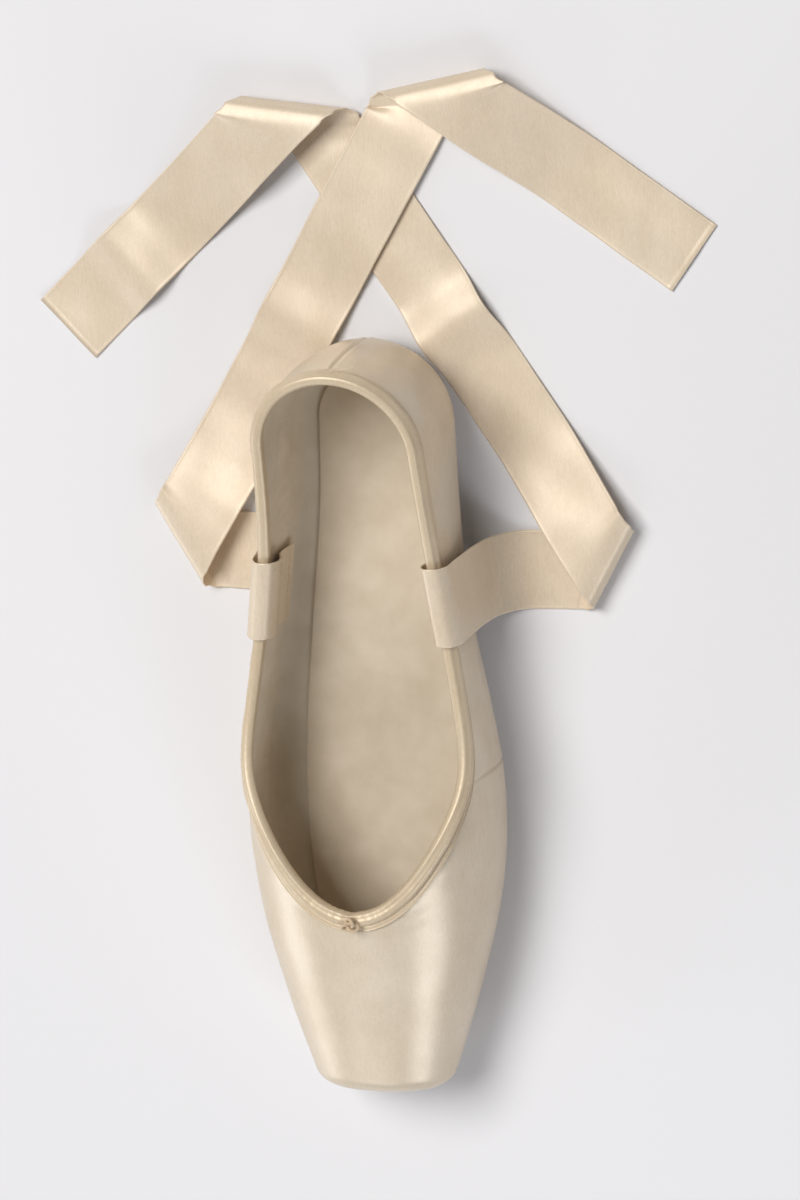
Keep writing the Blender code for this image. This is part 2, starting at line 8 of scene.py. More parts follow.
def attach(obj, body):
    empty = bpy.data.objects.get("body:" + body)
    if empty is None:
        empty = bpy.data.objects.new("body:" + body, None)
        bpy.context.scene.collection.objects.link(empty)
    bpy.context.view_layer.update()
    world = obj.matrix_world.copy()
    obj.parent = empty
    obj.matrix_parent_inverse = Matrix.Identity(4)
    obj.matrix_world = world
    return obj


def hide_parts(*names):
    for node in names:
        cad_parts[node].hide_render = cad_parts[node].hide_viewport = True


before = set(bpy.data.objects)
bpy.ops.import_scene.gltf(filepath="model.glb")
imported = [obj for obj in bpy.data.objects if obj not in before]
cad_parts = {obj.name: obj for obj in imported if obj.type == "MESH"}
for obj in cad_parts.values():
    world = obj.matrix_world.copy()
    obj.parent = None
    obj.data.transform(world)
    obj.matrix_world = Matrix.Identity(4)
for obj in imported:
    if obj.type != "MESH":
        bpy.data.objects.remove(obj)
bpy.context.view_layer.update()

# Sizes of the shoe, in metres, the same as the solids have
LENGTH = 0.236
BALL_WIDTH = 0.079
HEEL_WIDTH = 0.0548
PLATFORM_WIDTH = 0.042
PLATFORM_HEIGHT = 0.029
PLATFORM_EDGE = 0.0044
INSTEP_HEIGHT = 0.050
HEEL_HEIGHT = 0.0575
TOE_SPRING = 0.0030
ARCH_RISE = 0.0035
VAMP_LENGTH = 0.0625
THROAT_RADIUS = 0.016
THROAT_EASE = 0.010
BOX_WALL = 0.0030
QUARTER_WALL = 0.0020
COLLAR_WALL = 0.0015
OUTSOLE_THICKNESS = 0.0022
INSOLE_THICKNESS = 0.0010
GAP = 0.0004
FACET_GAP = 0.0007
OUTSOLE_START = 0.022
OUTSOLE_TIP_RADIUS = 0.008
OPENING_SETBACK = 0.014
OPENING_TIP_RADIUS = 0.007
MARGIN = 0.007
INSOLE_LAP = 0.006
INSOLE_TIP_RADIUS = 0.020
INSOLE_SHARE = 0.72
CASING_DEPTH = 0.0050
CASING_SWELL = 0.0011
KNOT_WIDTH = 0.0056
KNOT_HEIGHT = 0.0046
KNOT_DEPTH = 0.0014
KNOT_CORD = 0.0010
RIBBON_WIDTH = 0.025
HEEL_RADIUS = HEEL_WIDTH / 2
HEEL_CENTRE = LENGTH - HEEL_RADIUS
LAST_END = HEEL_CENTRE + HEEL_RADIUS * math.pi / 2
OPENING_START = OUTSOLE_START + OPENING_SETBACK
INSOLE_START = OPENING_START - INSOLE_LAP

# Each row starts with a place as a share of the last's length. WIDTHS, TOPS, UNDERSIDE and OUTSOLE go on
# with shares of the sizes that blend() is given, FULLNESS with the height of the widest point and the powers
# of the curves below and above it, and COLLAR with the collar's share of the half width
WIDTHS = (
    (0.000, 1.00, 0.000, 0.000), (0.075, 0.50, 0.420, 0.000), (0.150, 0.15, 0.742, 0.000),
    (0.225, 0.00, 0.932, 0.000), (0.319, 0.00, 1.000, 0.000), (0.413, 0.00, 0.978, 0.000),
    (0.506, 0.00, 0.800, 0.130), (0.600, 0.00, 0.500, 0.425), (0.694, 0.00, 0.200, 0.757),
    (0.825, 0.00, 0.000, 1.000), (0.919, 0.00, 0.000, 1.000), (1.000, 0.00, 0.000, 1.000),
)
TOPS = (
    (0.000, 1.00, 0.110, 0.000), (0.075, 0.50, 0.500, 0.000), (0.150, 0.15, 0.793, 0.000),
    (0.225, 0.00, 0.960, 0.000), (0.319, 0.00, 0.960, 0.000), (0.413, 0.00, 0.780, 0.057),
    (0.506, 0.00, 0.600, 0.161), (0.600, 0.00, 0.420, 0.309), (0.694, 0.00, 0.260, 0.496),
    (0.825, 0.00, 0.100, 0.783), (0.919, 0.00, 0.000, 0.970), (1.000, 0.00, 0.000, 1.000),
)
FULLNESS = (
    (0.000, 0.390, 2.2, 2.1), (0.075, 0.390, 2.5, 2.1), (0.150, 0.380, 3.0, 2.2), (0.225, 0.370, 3.6, 2.2),
    (0.319, 0.360, 3.9, 2.2), (0.413, 0.360, 4.0, 2.2), (0.600, 0.400, 4.0, 2.2), (0.825, 0.440, 4.0, 2.2),
    (1.000, 0.440, 4.0, 2.2),
)
UNDERSIDE = (
    (0.000, 1.00, 0.00), (0.075, 0.40, 0.00), (0.150, 0.00, 0.00), (0.394, 0.00, 0.00), (0.506, 0.00, 0.69),
    (0.600, 0.00, 1.00), (0.675, 0.00, 0.49), (0.750, 0.00, 0.00), (1.000, 0.00, 0.00),
)
COLLAR = ((0.190, 0.960), (0.420, 0.955), (0.610, 0.950), (0.825, 0.915), (1.000, 0.880))
OUTSOLE = (
    (0.090, 0.400, 0.000), (0.188, 0.515, 0.000), (0.310, 0.600, 0.000), (0.413, 0.560, 0.000),
    (0.506, 0.330, 0.144), (0.600, 0.150, 0.317), (0.694, 0.000, 0.577), (0.825, 0.000, 0.692),
    (1.000, 0.000, 0.771),
)

# Routes of the ribbons, chosen one by one: a direction across the ribbon, then the points that have it
RIBBON_RIGHT = (
    ((-0.13, 1, 0.09), (0.0270, 0.0410, 0.0140), (0.0266, 0.0410, 0.0290), (0.0248, 0.0410, 0.0340),
     (0.0244, 0.0410, 0.0390), (0.0260, 0.0410, 0.0420), (0.0296, 0.0410, 0.0423),
     (0.0320, 0.0412, 0.0394)),
    ((-0.13, 1, 0.06), (0.0328, 0.0416, 0.0335)),
    ((-0.12, 1, 0.03), (0.0334, 0.0420, 0.0250)),
    ((-0.10, 1, 0), (0.0344, 0.0424, 0.0150)),
    ((-0.07, 1, 0), (0.0370, 0.0430, 0.0065)),
    ((-0.04, 1, 0), (0.0425, 0.0436, 0.0016)),
    ((0, 1, 0), (0.0520, 0.0440, 0.0008), (0.0600, 0.0443, 0.0008)),
    ((0.47, 0.88, 0), (0.0680, 0.0445, 0.0008), (0.0714, 0.0447, 0.0019), (0.0734, 0.0456, 0.0049),
     (0.0731, 0.0478, 0.0079), (0.0713, 0.0507, 0.0091)),
    ((0.83, 0.56, 0), (0.0646, 0.0606, 0.0077), (0.0568, 0.0723, 0.0042), (0.0489, 0.0839, 0.0015),
     (0.0400, 0.0971, 0.0008), (0.0311, 0.1104, 0.0008), (0.0243, 0.1203, 0.0042),
     (0.0176, 0.1303, 0.0009), (0.0087, 0.1435, 0.0008), (-0.0092, 0.1701, 0.0008)),
    ((0.99, -0.10, 0), (-0.0181, 0.1833, 0.0008), (-0.0207, 0.1868, 0.0020), (-0.0235, 0.1884, 0.0052),
     (-0.0266, 0.1874, 0.0084), (-0.0299, 0.1845, 0.0097)),
    ((0.69, -0.72, 0), (-0.0392, 0.1755, 0.0082), (-0.0493, 0.1657, 0.0044), (-0.0594, 0.1560, 0.0015),
     (-0.0702, 0.1456, 0.0008), (-0.0788, 0.1372, 0.0040), (-0.0874, 0.1289, 0.0008),
     (-0.1010, 0.1157, 0.0008)),
)
RIBBON_LEFT = (
    ((0.13, 1, 0.09), (-0.0270, 0.0410, 0.0140), (-0.0266, 0.0410, 0.0290), (-0.0248, 0.0410, 0.0340),
     (-0.0244, 0.0410, 0.0390), (-0.0260, 0.0410, 0.0420), (-0.0296, 0.0410, 0.0423),
     (-0.0320, 0.0413, 0.0394)),
    ((0.13, 1, 0.06), (-0.0328, 0.0420, 0.0335)),
    ((0.11, 1, 0.03), (-0.0332, 0.0430, 0.0250)),
    ((0.09, 1, 0), (-0.0338, 0.0442, 0.0150)),
    ((0.05, 1, 0), (-0.0358, 0.0454, 0.0065)),
    ((0.02, 1, 0), (-0.0405, 0.0463, 0.0016)),
    ((0, 1, 0), (-0.0495, 0.0468, 0.0008)),
    ((-0.50, 0.87, 0), (-0.0600, 0.0470, 0.0008), (-0.0634, 0.0472, 0.0019), (-0.0653, 0.0481, 0.0047),
     (-0.0652, 0.0503, 0.0075), (-0.0636, 0.0533, 0.0087)),
    ((-0.87, 0.50, 0), (-0.0576, 0.0637, 0.0073), (-0.0506, 0.0758, 0.0038), (-0.0436, 0.0879, 0.0013),
     (-0.0376, 0.0983, 0.0008), (-0.0316, 0.1087, 0.0008), (-0.0256, 0.1191, 0.0036),
     (-0.0186, 0.1312, 0.0020), (-0.0116, 0.1434, 0.0025), (0.0024, 0.1676, 0.0025),
     (0.0094, 0.1797, 0.0020)),
    ((-0.98, -0.22, 0), (0.0154, 0.1901, 0.0008), (0.0178, 0.1937, 0.0020), (0.0205, 0.1956, 0.0050),
     (0.0238, 0.1951, 0.0080), (0.0275, 0.1928, 0.0093)),
    ((-0.57, -0.82, 0), (0.0381, 0.1853, 0.0078), (0.0496, 0.1773, 0.0042), (0.0611, 0.1693, 0.0014),
     (0.0725, 0.1612, 0.0008), (0.0848, 0.1526, 0.0008), (0.1000, 0.1420, 0.0008)),
)


# Curves through the tables and the surface of the last
def hermite(x, y, slope, at):
    """Cubic curve through the points x, y with a slope at each."""
    at = np.asarray(at, dtype=float)
    i = np.clip(np.searchsorted(x, at) - 1, 0, len(x) - 2)
    step = x[i + 1] - x[i]
    u = (at - x[i]) / step
    start = y[i] * (1 + 2 * u) * (1 - u) ** 2 + slope[i] * step * u * (1 - u) ** 2
    end = y[i + 1] * u * u * (3 - 2 * u) + slope[i + 1] * step * u * u * (u - 1)
    return start + end


def knots(rows, column):
    x = np.array([row[0] for row in rows])
    y = np.array([row[column] for row in rows])
    step = np.diff(x)
    return x, y, step, np.diff(y) / step


def smooth(rows, column):
    """Curve through the rows without kinks, free at its start and level at its end."""
    x, y, step, rise = knots(rows, column)
    count = len(x)
    system = np.zeros((count, count))
    right = np.zeros(count)
    system[0, 0], system[0, 1], right[0] = 2, 1, 3 * rise[0]
    for i in range(1, count - 1):
        system[i, i - 1] = step[i]
        system[i, i] = 2 * (step[i - 1] + step[i])
        system[i, i + 1] = step[i - 1]
        right[i] = 3 * (step[i] * rise[i - 1] + step[i - 1] * rise[i])
    system[-1, -1] = 1
    slope = np.linalg.solve(system, right)
    return lambda at: hermite(x, y, slope, at)


def steady(rows, column):
    """Curve through the rows that never passes above or below its neighbours."""
    x, y, step, rise = knots(rows, column)
    slope = np.zeros(len(x))
    slope[0] = rise[0]
    for i in range(1, len(x) - 1):
        if rise[i - 1] * rise[i] > 0:
            before = 2 * step[i] + step[i - 1]
            after = step[i] + 2 * step[i - 1]
            slope[i] = (before + after) / (before / rise[i - 1] + after / rise[i])
    return lambda at: hermite(x, y, slope, at)


def blend(fit, rows, sizes):
    """Sum of sizes, each times its own curve through the rows, at a place along the last."""
    pairs = [(size, fit(rows, column + 1)) for column, size in enumerate(sizes)]
    return lambda place: sum(size * curve(np.asarray(place) / LAST_END) for size, curve in pairs)


last_width = blend(smooth, WIDTHS, (PLATFORM_WIDTH, BALL_WIDTH, HEEL_WIDTH))
last_top = blend(smooth, TOPS, (PLATFORM_HEIGHT, INSTEP_HEIGHT, HEEL_HEIGHT))
widest_height = blend(smooth, FULLNESS, (INSTEP_HEIGHT,))
fullness_below = blend(smooth, [(row[0], row[2]) for row in FULLNESS], (1,))
fullness_above = blend(smooth, [(row[0], row[3]) for row in FULLNESS], (1,))
lift = blend(steady, UNDERSIDE, (TOE_SPRING, ARCH_RISE))
collar_share = blend(smooth, COLLAR, (1,))
outsole_width = blend(smooth, OUTSOLE, (BALL_WIDTH, HEEL_WIDTH))


def lesser(a, b):
    """Lesser of two lengths, with a smooth change from one to the other."""
    a = np.asarray(a, dtype=float)
    power = 12
    safe = np.maximum(a, 1e-9)
    return np.where(a <= 0, 0.0, (safe ** -power + b ** -power) ** (-1 / power))


def round_start(distance, radius):
    """Half width of a round tip at a distance behind its front."""
    return np.sqrt(2 * radius * np.maximum(distance, 0))


def edge_inset(place):
    """How far the round edge of the platform draws each section in."""
    run = PLATFORM_EDGE - np.asarray(place, dtype=float)
    return np.where(run <= 0, 0.0, PLATFORM_EDGE - np.sqrt(np.maximum(PLATFORM_EDGE ** 2 - run ** 2, 0)))


def started(place, start, radius, half_width):
    """Half width of an outline that starts with a round tip of the given radius."""
    return np.where(place >= HEEL_CENTRE, half_width, lesser(round_start(place - start, radius), half_width))


def collar_half(place, half_width):
    return started(place, VAMP_LENGTH, THROAT_RADIUS, collar_share(place) * half_width)


def section(place):
    """Half width, lowest, widest and highest heights, powers below and above, and collar of a section."""
    place = np.asarray(place, dtype=float)
    inset = edge_inset(place)
    half_width = last_width(place) / 2 - inset
    widest = widest_height(place)
    top = last_top(place) - inset
    above = fullness_above(place)
    collar = collar_half(place, half_width)
    run = place - VAMP_LENGTH
    spread = collar_half(VAMP_LENGTH + (run + np.hypot(run, THROAT_EASE)) / 2, half_width)
    open_share = (spread / half_width) ** above
    crown = widest + (top - widest) / (1 - open_share) ** (1 / above)
    low = OUTSOLE_THICKNESS + GAP + lift(place) + inset
    return half_width, low, widest, crown, fullness_below(place), above, collar


def outside(place, reach, height):
    """Less than zero inside a section of the last, and more outside it."""
    half_width, low, widest, crown, below, above, _ = section(place)
    under = height < widest
    down = np.where(under, (widest - height) / (widest - low), 0)
    up = np.where(under, 0, (height - widest) / (crown - widest))
    lower = (reach / half_width) ** below + np.maximum(down, 0) ** below - 1
    upper = (reach / half_width) ** above + np.maximum(up, 0) ** above - 1
    return np.where(under, lower, upper)


def locate(place, reach, height, side):
    """Point at a place along the last, which runs round the heel, and a reach from its middle line."""
    place, reach, height = np.broadcast_arrays(place, reach, height)
    turn = np.maximum(place - HEEL_CENTRE, 0) / HEEL_RADIUS
    y = np.where(place <= HEEL_CENTRE, place, HEEL_CENTRE + reach * np.sin(turn)) - LENGTH / 2
    return np.stack((side * reach * np.cos(turn), y, height), axis=-1)


def unlocate(points):
    x, y, z = points[..., 0], points[..., 1], points[..., 2]
    along = y + LENGTH / 2
    turn = np.arctan2(np.maximum(along - HEEL_CENTRE, 0), np.abs(x))
    heel = along > HEEL_CENTRE
    place = np.where(heel, HEEL_CENTRE + HEEL_RADIUS * turn, along)
    return place, np.where(heel, np.hypot(x, along - HEEL_CENTRE), np.abs(x)), z


def signed(points):
    place, reach, height = unlocate(points)
    return outside(np.maximum(place, 0.0), reach, height)


def unit(vectors):
    return vectors / np.linalg.norm(vectors, axis=-1, keepdims=True)


def way_along(points):
    return np.concatenate(([0.0], np.cumsum(np.linalg.norm(np.diff(points, axis=0), axis=1))))


def normal_at(points):
    step = 2e-6
    slope = np.zeros_like(points)
    for axis in range(3):
        shift = np.zeros(3)
        shift[axis] = step
        slope[..., axis] = signed(points + shift) - signed(points - shift)
    slope[..., 0] = np.where(np.abs(points[..., 0]) < 1e-7, 0.0, slope[..., 0])
    return unit(slope)


def on_surface(points, direction):
    shift, step = np.zeros(points.shape[:-1]), 1e-5
    for _ in range(14):
        value = signed(points + shift[..., None] * direction)
        change = signed(points + (shift + step)[..., None] * direction) - value
        move = np.clip(-value * step / np.where(np.abs(change) < 1e-12, 1e-12, change), -0.001, 0.001)
        shift = shift + move
    return points + shift[..., None] * direction


def wall(place):
    return BOX_WALL + (QUARTER_WALL - BOX_WALL) * step_of(place, VAMP_LENGTH, 2 * VAMP_LENGTH)


def edge_wall(place, depth):
    """Wall thickness that thins towards the collar, where the casing folds over it."""
    full = wall(place)
    return COLLAR_WALL + (full - COLLAR_WALL) * step_of(depth, 0.4 * CASING_DEPTH, 1.9 * CASING_DEPTH)


def outsole_half(place):
    return started(place, OUTSOLE_START, OUTSOLE_TIP_RADIUS, outsole_width(place) / 2)


def opening_half(place):
    return started(place, OPENING_START, OPENING_TIP_RADIUS, outsole_width(place) / 2 - MARGIN)


def insole_half(place):
    return started(place, INSOLE_START, INSOLE_TIP_RADIUS, INSOLE_SHARE * (section(place)[0] - wall(place)))


# Mesh helpers
def bump_of(distance, width):
    """Soft ridge of height 1 at no distance."""
    return np.exp(-(np.asarray(distance) / width) ** 2)


def step_of(value, low, high):
    share = np.clip((np.asarray(value, dtype=float) - low) / (high - low), 0, 1)
    return share * share * (3 - 2 * share)


def cloud(points, size, seed):
    """Smooth noise from about -1 to 1 with lumps of the given size."""
    shift = Vector((seed * 7.3, seed * 3.1, seed * 5.7))
    return np.array([noise.noise(Vector(p) / size + shift) for p in np.asarray(points).tolist()])


def grid_faces(rows, columns, wrap_rows=False, wrap_columns=False):
    i = np.arange(rows if wrap_rows else rows - 1)[:, None]
    j = np.arange(columns if wrap_columns else columns - 1)[None, :]
    a, b = i * columns, (i + 1) % rows * columns
    c, d = j, (j + 1) % columns
    return np.stack(np.broadcast_arrays(a + c, b + c, b + d, a + d), -1).reshape(-1, 4)


def weld(points, faces, tolerance=2e-7):
    keys = np.round(points / tolerance).astype(np.int64)
    _, first, inverse = np.unique(keys, axis=0, return_index=True, return_inverse=True)
    return first, inverse.reshape(-1)[faces]


def point_normals(points, faces):
    corner = points[faces]
    face = np.cross(corner[:, 2] - corner[:, 0], corner[:, 3] - corner[:, 1])
    total = np.zeros_like(points)
    for k in range(4):
        np.add.at(total, faces[:, k], face)
    length = np.linalg.norm(total, axis=1, keepdims=True)
    return total / np.where(length < 1e-15, 1, length)


def clean_face(face):
    kept = [a for a, b in zip(face, face[1:] + face[:1]) if a != b]
    return kept if len(set(kept)) > 2 else None


def add_piece(name, points, faces, material, replaced=None):
    mesh = bpy.data.meshes.new(name)
    kept = [clean_face(face) for face in faces.tolist()]
    mesh.from_pydata(points.tolist(), [], [face for face in kept if face])
    mesh.materials.append(material)
    mesh.polygons.foreach_set("use_smooth", [True] * len(mesh.polygons))
    mesh.update()
    thing = bpy.data.objects.new(name, mesh)
    bpy.context.scene.collection.objects.link(thing)
    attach(thing, "root")
    if replaced:
        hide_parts(replaced)
    return thing


def outward(points, faces):
    """Faces turned so that the closed mesh has a positive volume."""
    corner = points[faces]
    volume = np.einsum("ij,ij->i", corner[:, 0], np.cross(corner[:, 1], corner[:, 2])).sum()
    volume += np.einsum("ij,ij->i", corner[:, 0], np.cross(corner[:, 2], corner[:, 3])).sum()
    return faces if volume > 0 else faces[:, ::-1]


def add_ring(name, rings, material, replaced):
    """Piece of closed rings that follow each other round a closed path."""
    points = rings.reshape(-1, 3)
    faces = outward(points, grid_faces(*rings.shape[:2], wrap_rows=True, wrap_columns=True))
    add_piece(name, points, faces, material, replaced)


def shell(front, back, faces):
    """Closed shell between two layers of the same surface, joined along its open edges."""
    count = len(front)
    edges = {}
    for face in faces.tolist():
        for a, b in zip(face, face[1:] + face[:1]):
            if a != b:
                key = (min(a, b), max(a, b))
                edges[key] = None if key in edges else (a, b)
    rim = [(b, a, a + count, b + count) for edge in edges.values() if edge for a, b in (edge,)]
    whole = np.vstack((faces, faces[:, ::-1] + count, np.array(rim).reshape(-1, 4)))
    return np.vstack((front, back)), whole


# Materials
def colour(red, green, blue):
    """Linear colour of a screen colour from 0 to 255."""
    shares = [c / 255 for c in (red, green, blue)]
    return [s / 12.92 if s <= 0.04045 else ((s + 0.055) / 1.055) ** 2.4 for s in shares] + [1.0]


class Paint:
    """A procedural material built node by node."""

    def __init__(self, name, roughness, **sockets):
        self.material = bpy.data.materials.new(name)
        self.material.use_nodes = True
        self.tree = self.material.node_tree
        self.shader = self.tree.nodes["Principled BSDF"]
        self.shader.inputs["Roughness"].default_value = roughness
        for socket, value in sockets.items():
            self.shader.inputs[socket.replace("_", " ")].default_value = value
        self.place = self.node("ShaderNodeTexCoord").outputs["Object"]

    def node(self, kind, **values):
        made = self.tree.nodes.new(kind)
        for key, value in values.items():
            if hasattr(made, key):
                setattr(made, key, value)
            else:
                made.inputs[key.replace("_", " ")].default_value = value
        return made

    def link(self, source, target):
        self.tree.links.new(source, target)

    def stretched(self, x, y, z):
        mapping = self.node("ShaderNodeMapping")
        mapping.inputs["Scale"].default_value = (x, y, z)
        self.link(self.place, mapping.inputs["Vector"])
        return mapping.outputs["Vector"]

    def noise(self, x, y, z, detail=3.0, roughness=0.55):
        made = self.node("ShaderNodeTexNoise", Scale=1.0, Detail=detail, Roughness=roughness)
        self.link(self.stretched(x, y, z), made.inputs["Vector"])
        return made.outputs["Fac"]

    def waves(self, direction, scale, distortion):
        made = self.node("ShaderNodeTexWave", bands_direction=direction, Scale=1.0, Distortion=distortion)
        self.link(self.stretched(scale, scale, scale), made.inputs["Vector"])
        return made.outputs["Fac"]

    def mixed(self, factor, low, high, start=0.0, stop=1.0):
        ramp = self.node("ShaderNodeValToRGB")
        ramp.color_ramp.elements[0].position = start
        ramp.color_ramp.elements[0].color = low
        ramp.color_ramp.elements[1].position = stop
        ramp.color_ramp.elements[1].color = high
        self.link(factor, ramp.inputs["Fac"])
        return ramp.outputs["Color"]

    def times(self, first, second):
        mix = self.node("ShaderNodeMix", data_type="RGBA", blend_type="MULTIPLY")
        mix.inputs[0].default_value = 1.0
        self.link(first, mix.inputs[6])
        self.link(second, mix.inputs[7])
        return mix.outputs[2]

    def greater(self, first, second):
        made = self.node("ShaderNodeMath", operation="MAXIMUM")
        self.link(first, made.inputs[0])
        self.link(second, made.inputs[1])
        return made.outputs[0]

    def colours(self, source):
        self.link(source, self.shader.inputs["Base Color"])

    def rough(self, factor, low, high):
        made = self.node("ShaderNodeMapRange")
        made.inputs["To Min"].default_value = low
        made.inputs["To Max"].default_value = high
        self.link(factor, made.inputs["Value"])
        self.link(made.outputs["Result"], self.shader.inputs["Roughness"])

    def bumps(self, *layers):
        """Layers of (height, strength, distance in metres)."""
        before = None
        for height, strength, distance in layers:
            bump = self.node("ShaderNodeBump", Strength=strength, Distance=distance)
            self.link(height, bump.inputs["Height"])
            if before:
                self.link(before, bump.inputs["Normal"])
            before = bump.outputs["Normal"]
        self.link(before, self.shader.inputs["Normal"])

    def grain(self):
        tangent = self.node("ShaderNodeTangent", direction_type="RADIAL", axis="Y")
        self.link(tangent.outputs["Tangent"], self.shader.inputs["Tangent"])


def satin(name, shade, light, roughness, anisotropy, sheen, metal):
    paint = Paint(name, roughness, Anisotropic=anisotropy, Sheen_Weight=sheen, Sheen_Roughness=0.35,
                  Specular_IOR_Level=0.6, Coat_Weight=0.12, Coat_Roughness=0.24, Metallic=metal)
    paint.shader.inputs["Sheen Tint"].default_value = colour(255, 246, 230)
    paint.shader.inputs["Specular Tint"].default_value = colour(255, 249, 238)
    blotch = paint.noise(60, 40, 60, 2.0)
    threads = paint.noise(5200, 700, 5200, 2.0)
    base = paint.mixed(blotch, colour(*shade), colour(*light), 0.3, 0.7)
    fine = paint.mixed(threads, (0.90, 0.90, 0.89, 1), (1, 1, 1, 1), 0.3, 0.65)
    slubs = paint.noise(1500, 220, 1500, 3.0)
    streaks = paint.mixed(slubs, (0.955, 0.955, 0.95, 1), (1, 1, 1, 1), 0.35, 0.62)
    paint.colours(paint.times(base, paint.times(fine, streaks)))
    paint.rough(paint.noise(1400, 260, 1400, 2.0), roughness - 0.06, roughness + 0.08)
    paint.bumps((threads, 0.35, 0.00005), (slubs, 0.22, 0.00010))
    paint.grain()
    return paint.material


def cloth(name, shade, light, fineness, depth, roughness=0.85):
    paint = Paint(name, roughness, Sheen_Weight=0.25, Sheen_Roughness=0.5, Specular_IOR_Level=0.3)
    weave = paint.greater(paint.waves("X", fineness, 0.4), paint.waves("Y", fineness, 0.4))
    base = paint.mixed(paint.noise(90, 90, 90, 3.0), colour(*shade), colour(*light), 0.3, 0.7)
    fine = paint.mixed(weave, (0.91, 0.91, 0.91, 1), (1, 1, 1, 1))
    paint.colours(paint.times(base, fine))
    paint.bumps((weave, 0.25, depth), (paint.noise(900, 900, 900, 3.0), 0.3, depth))
    return paint.material


def leather(name, shade, light):
    paint = Paint(name, 0.7, Specular_IOR_Level=0.35)
    base = paint.mixed(paint.noise(70, 45, 70, 4.0), colour(*shade), colour(*light), 0.3, 0.72)
    nap = paint.noise(2600, 2600, 2600, 4.0, 0.7)
    scuffs = paint.noise(700, 90, 700, 4.0, 0.65)
    worn = paint.mixed(scuffs, (0.84, 0.82, 0.80, 1), (1, 1, 1, 1), 0.35, 0.6)
    fine = paint.mixed(nap, (0.88, 0.87, 0.86, 1), (1, 1, 1, 1), 0.3, 0.7)
    paint.colours(paint.times(paint.times(base, worn), fine))
    paint.rough(scuffs, 0.6, 0.85)
    paint.bumps((nap, 0.4, 0.00012), (scuffs, 0.3, 0.0002))
    return paint.material


upper_satin = satin("champagne_satin", (221, 203, 178), (231, 215, 193), 0.33, 0.40, 0.02, 0.15)
casing_satin = satin("casing_satin", (214, 192, 161), (223, 203, 174), 0.40, 0.25, 0.10, 0.15)
ribbon_satin = satin("ribbon_satin", (228, 208, 182), (235, 217, 193), 0.42, 0.35, 0.06, 0.10)
lining_cloth = cloth("cotton_lining", (214, 200, 178), (226, 213, 193), 1500, 0.0001)
sock_cloth = cloth("cotton_sock", (209, 194, 171), (221, 207, 186), 1300, 0.00012)
thread_cotton = cloth("thread_cotton", (222, 202, 174), (232, 214, 188), 5200, 0.00004, 0.7)
cord_cotton = cloth("cord_cotton", (205, 180, 148), (216, 192, 160), 4200, 0.00005, 0.75)
sole_leather = leather("sole_leather", (196, 161, 120), (212, 178, 137))

# Camera at the photograph's angle: over the vamp, tipped to the right and towards the heel
CAMERA_TIP = math.radians(17)
CAMERA_BACK = math.radians(14)
CAMERA_ROLL = math.radians(2)
CAMERA_DISTANCE = 1.75
VIEW_HEIGHT = 0.369
VIEW_SHIFT = (0.0095, 0.0372)
level = math.cos(CAMERA_BACK)
toward = Vector((math.sin(CAMERA_TIP) * level, math.sin(CAMERA_BACK), math.cos(CAMERA_TIP) * level))
across_view = Vector((math.cos(CAMERA_TIP), 0, -math.sin(CAMERA_TIP)))
up_view = toward.cross(across_view)
rolled_up = up_view * math.cos(CAMERA_ROLL) + across_view * math.sin(CAMERA_ROLL)
rolled_across = across_view * math.cos(CAMERA_ROLL) - up_view * math.sin(CAMERA_ROLL)
look_at = Vector((0.0, 0.0, 0.025)) + VIEW_SHIFT[0] * rolled_across + VIEW_SHIFT[1] * rolled_up
camera_data = bpy.data.cameras.new("camera")
camera_data.sensor_width = 36
camera_data.lens = 36 * CAMERA_DISTANCE / VIEW_HEIGHT
camera_data.clip_start = 0.05
camera_data.clip_end = 20
camera = bpy.data.objects.new("camera", camera_data)
turned = Matrix((rolled_across, rolled_up, toward)).transposed().to_4x4()
camera.matrix_world = Matrix.Translation(look_at + CAMERA_DISTANCE * toward) @ turned
bpy.context.scene.collection.objects.link(camera)
bpy.context.scene.camera = camera


# Ribbons
def through(route, steps):
    """Points through a route, with the direction along it and the straight line across it."""
    table = np.array([point + across for across, *points in route for point in points])
    at = way_along(table[:, :3])
    spots = [np.linspace(start, end, steps, endpoint=False) for start, end in zip(at, at[1:])]
    spots = np.concatenate(spots + [at[-1:]])
    slopes = np.gradient(table, at, axis=0)
    points = np.stack([hermite(at, y, slope, spots) for y, slope in zip(table.T, slopes.T)], axis=-1)
    return points[:, :3], unit(np.gradient(points[:, :3], axis=0)), unit(points[:, 3:])


RIBBON_BODY = 0.00042
SELVEDGE = 0.0009
RIBBON_RIPPLE = 0.00022


def ribbon_profile():
    """Shares of the half width across the ribbon, with its half thickness, which grows at each selvedge."""
    share = np.concatenate((np.linspace(-1, -0.9, 6), np.linspace(-0.86, 0.86, 23), np.linspace(0.9, 1, 6)))
    edge = (1 - np.abs(share)) * RIBBON_WIDTH / 2
    half = RIBBON_BODY / 2 * (1 + 0.3 * bump_of(edge - 0.5 * SELVEDGE, 0.45 * SELVEDGE))
    half *= np.sqrt(np.clip(edge / (0.25 * SELVEDGE), 0.02, 1))
    return share, half


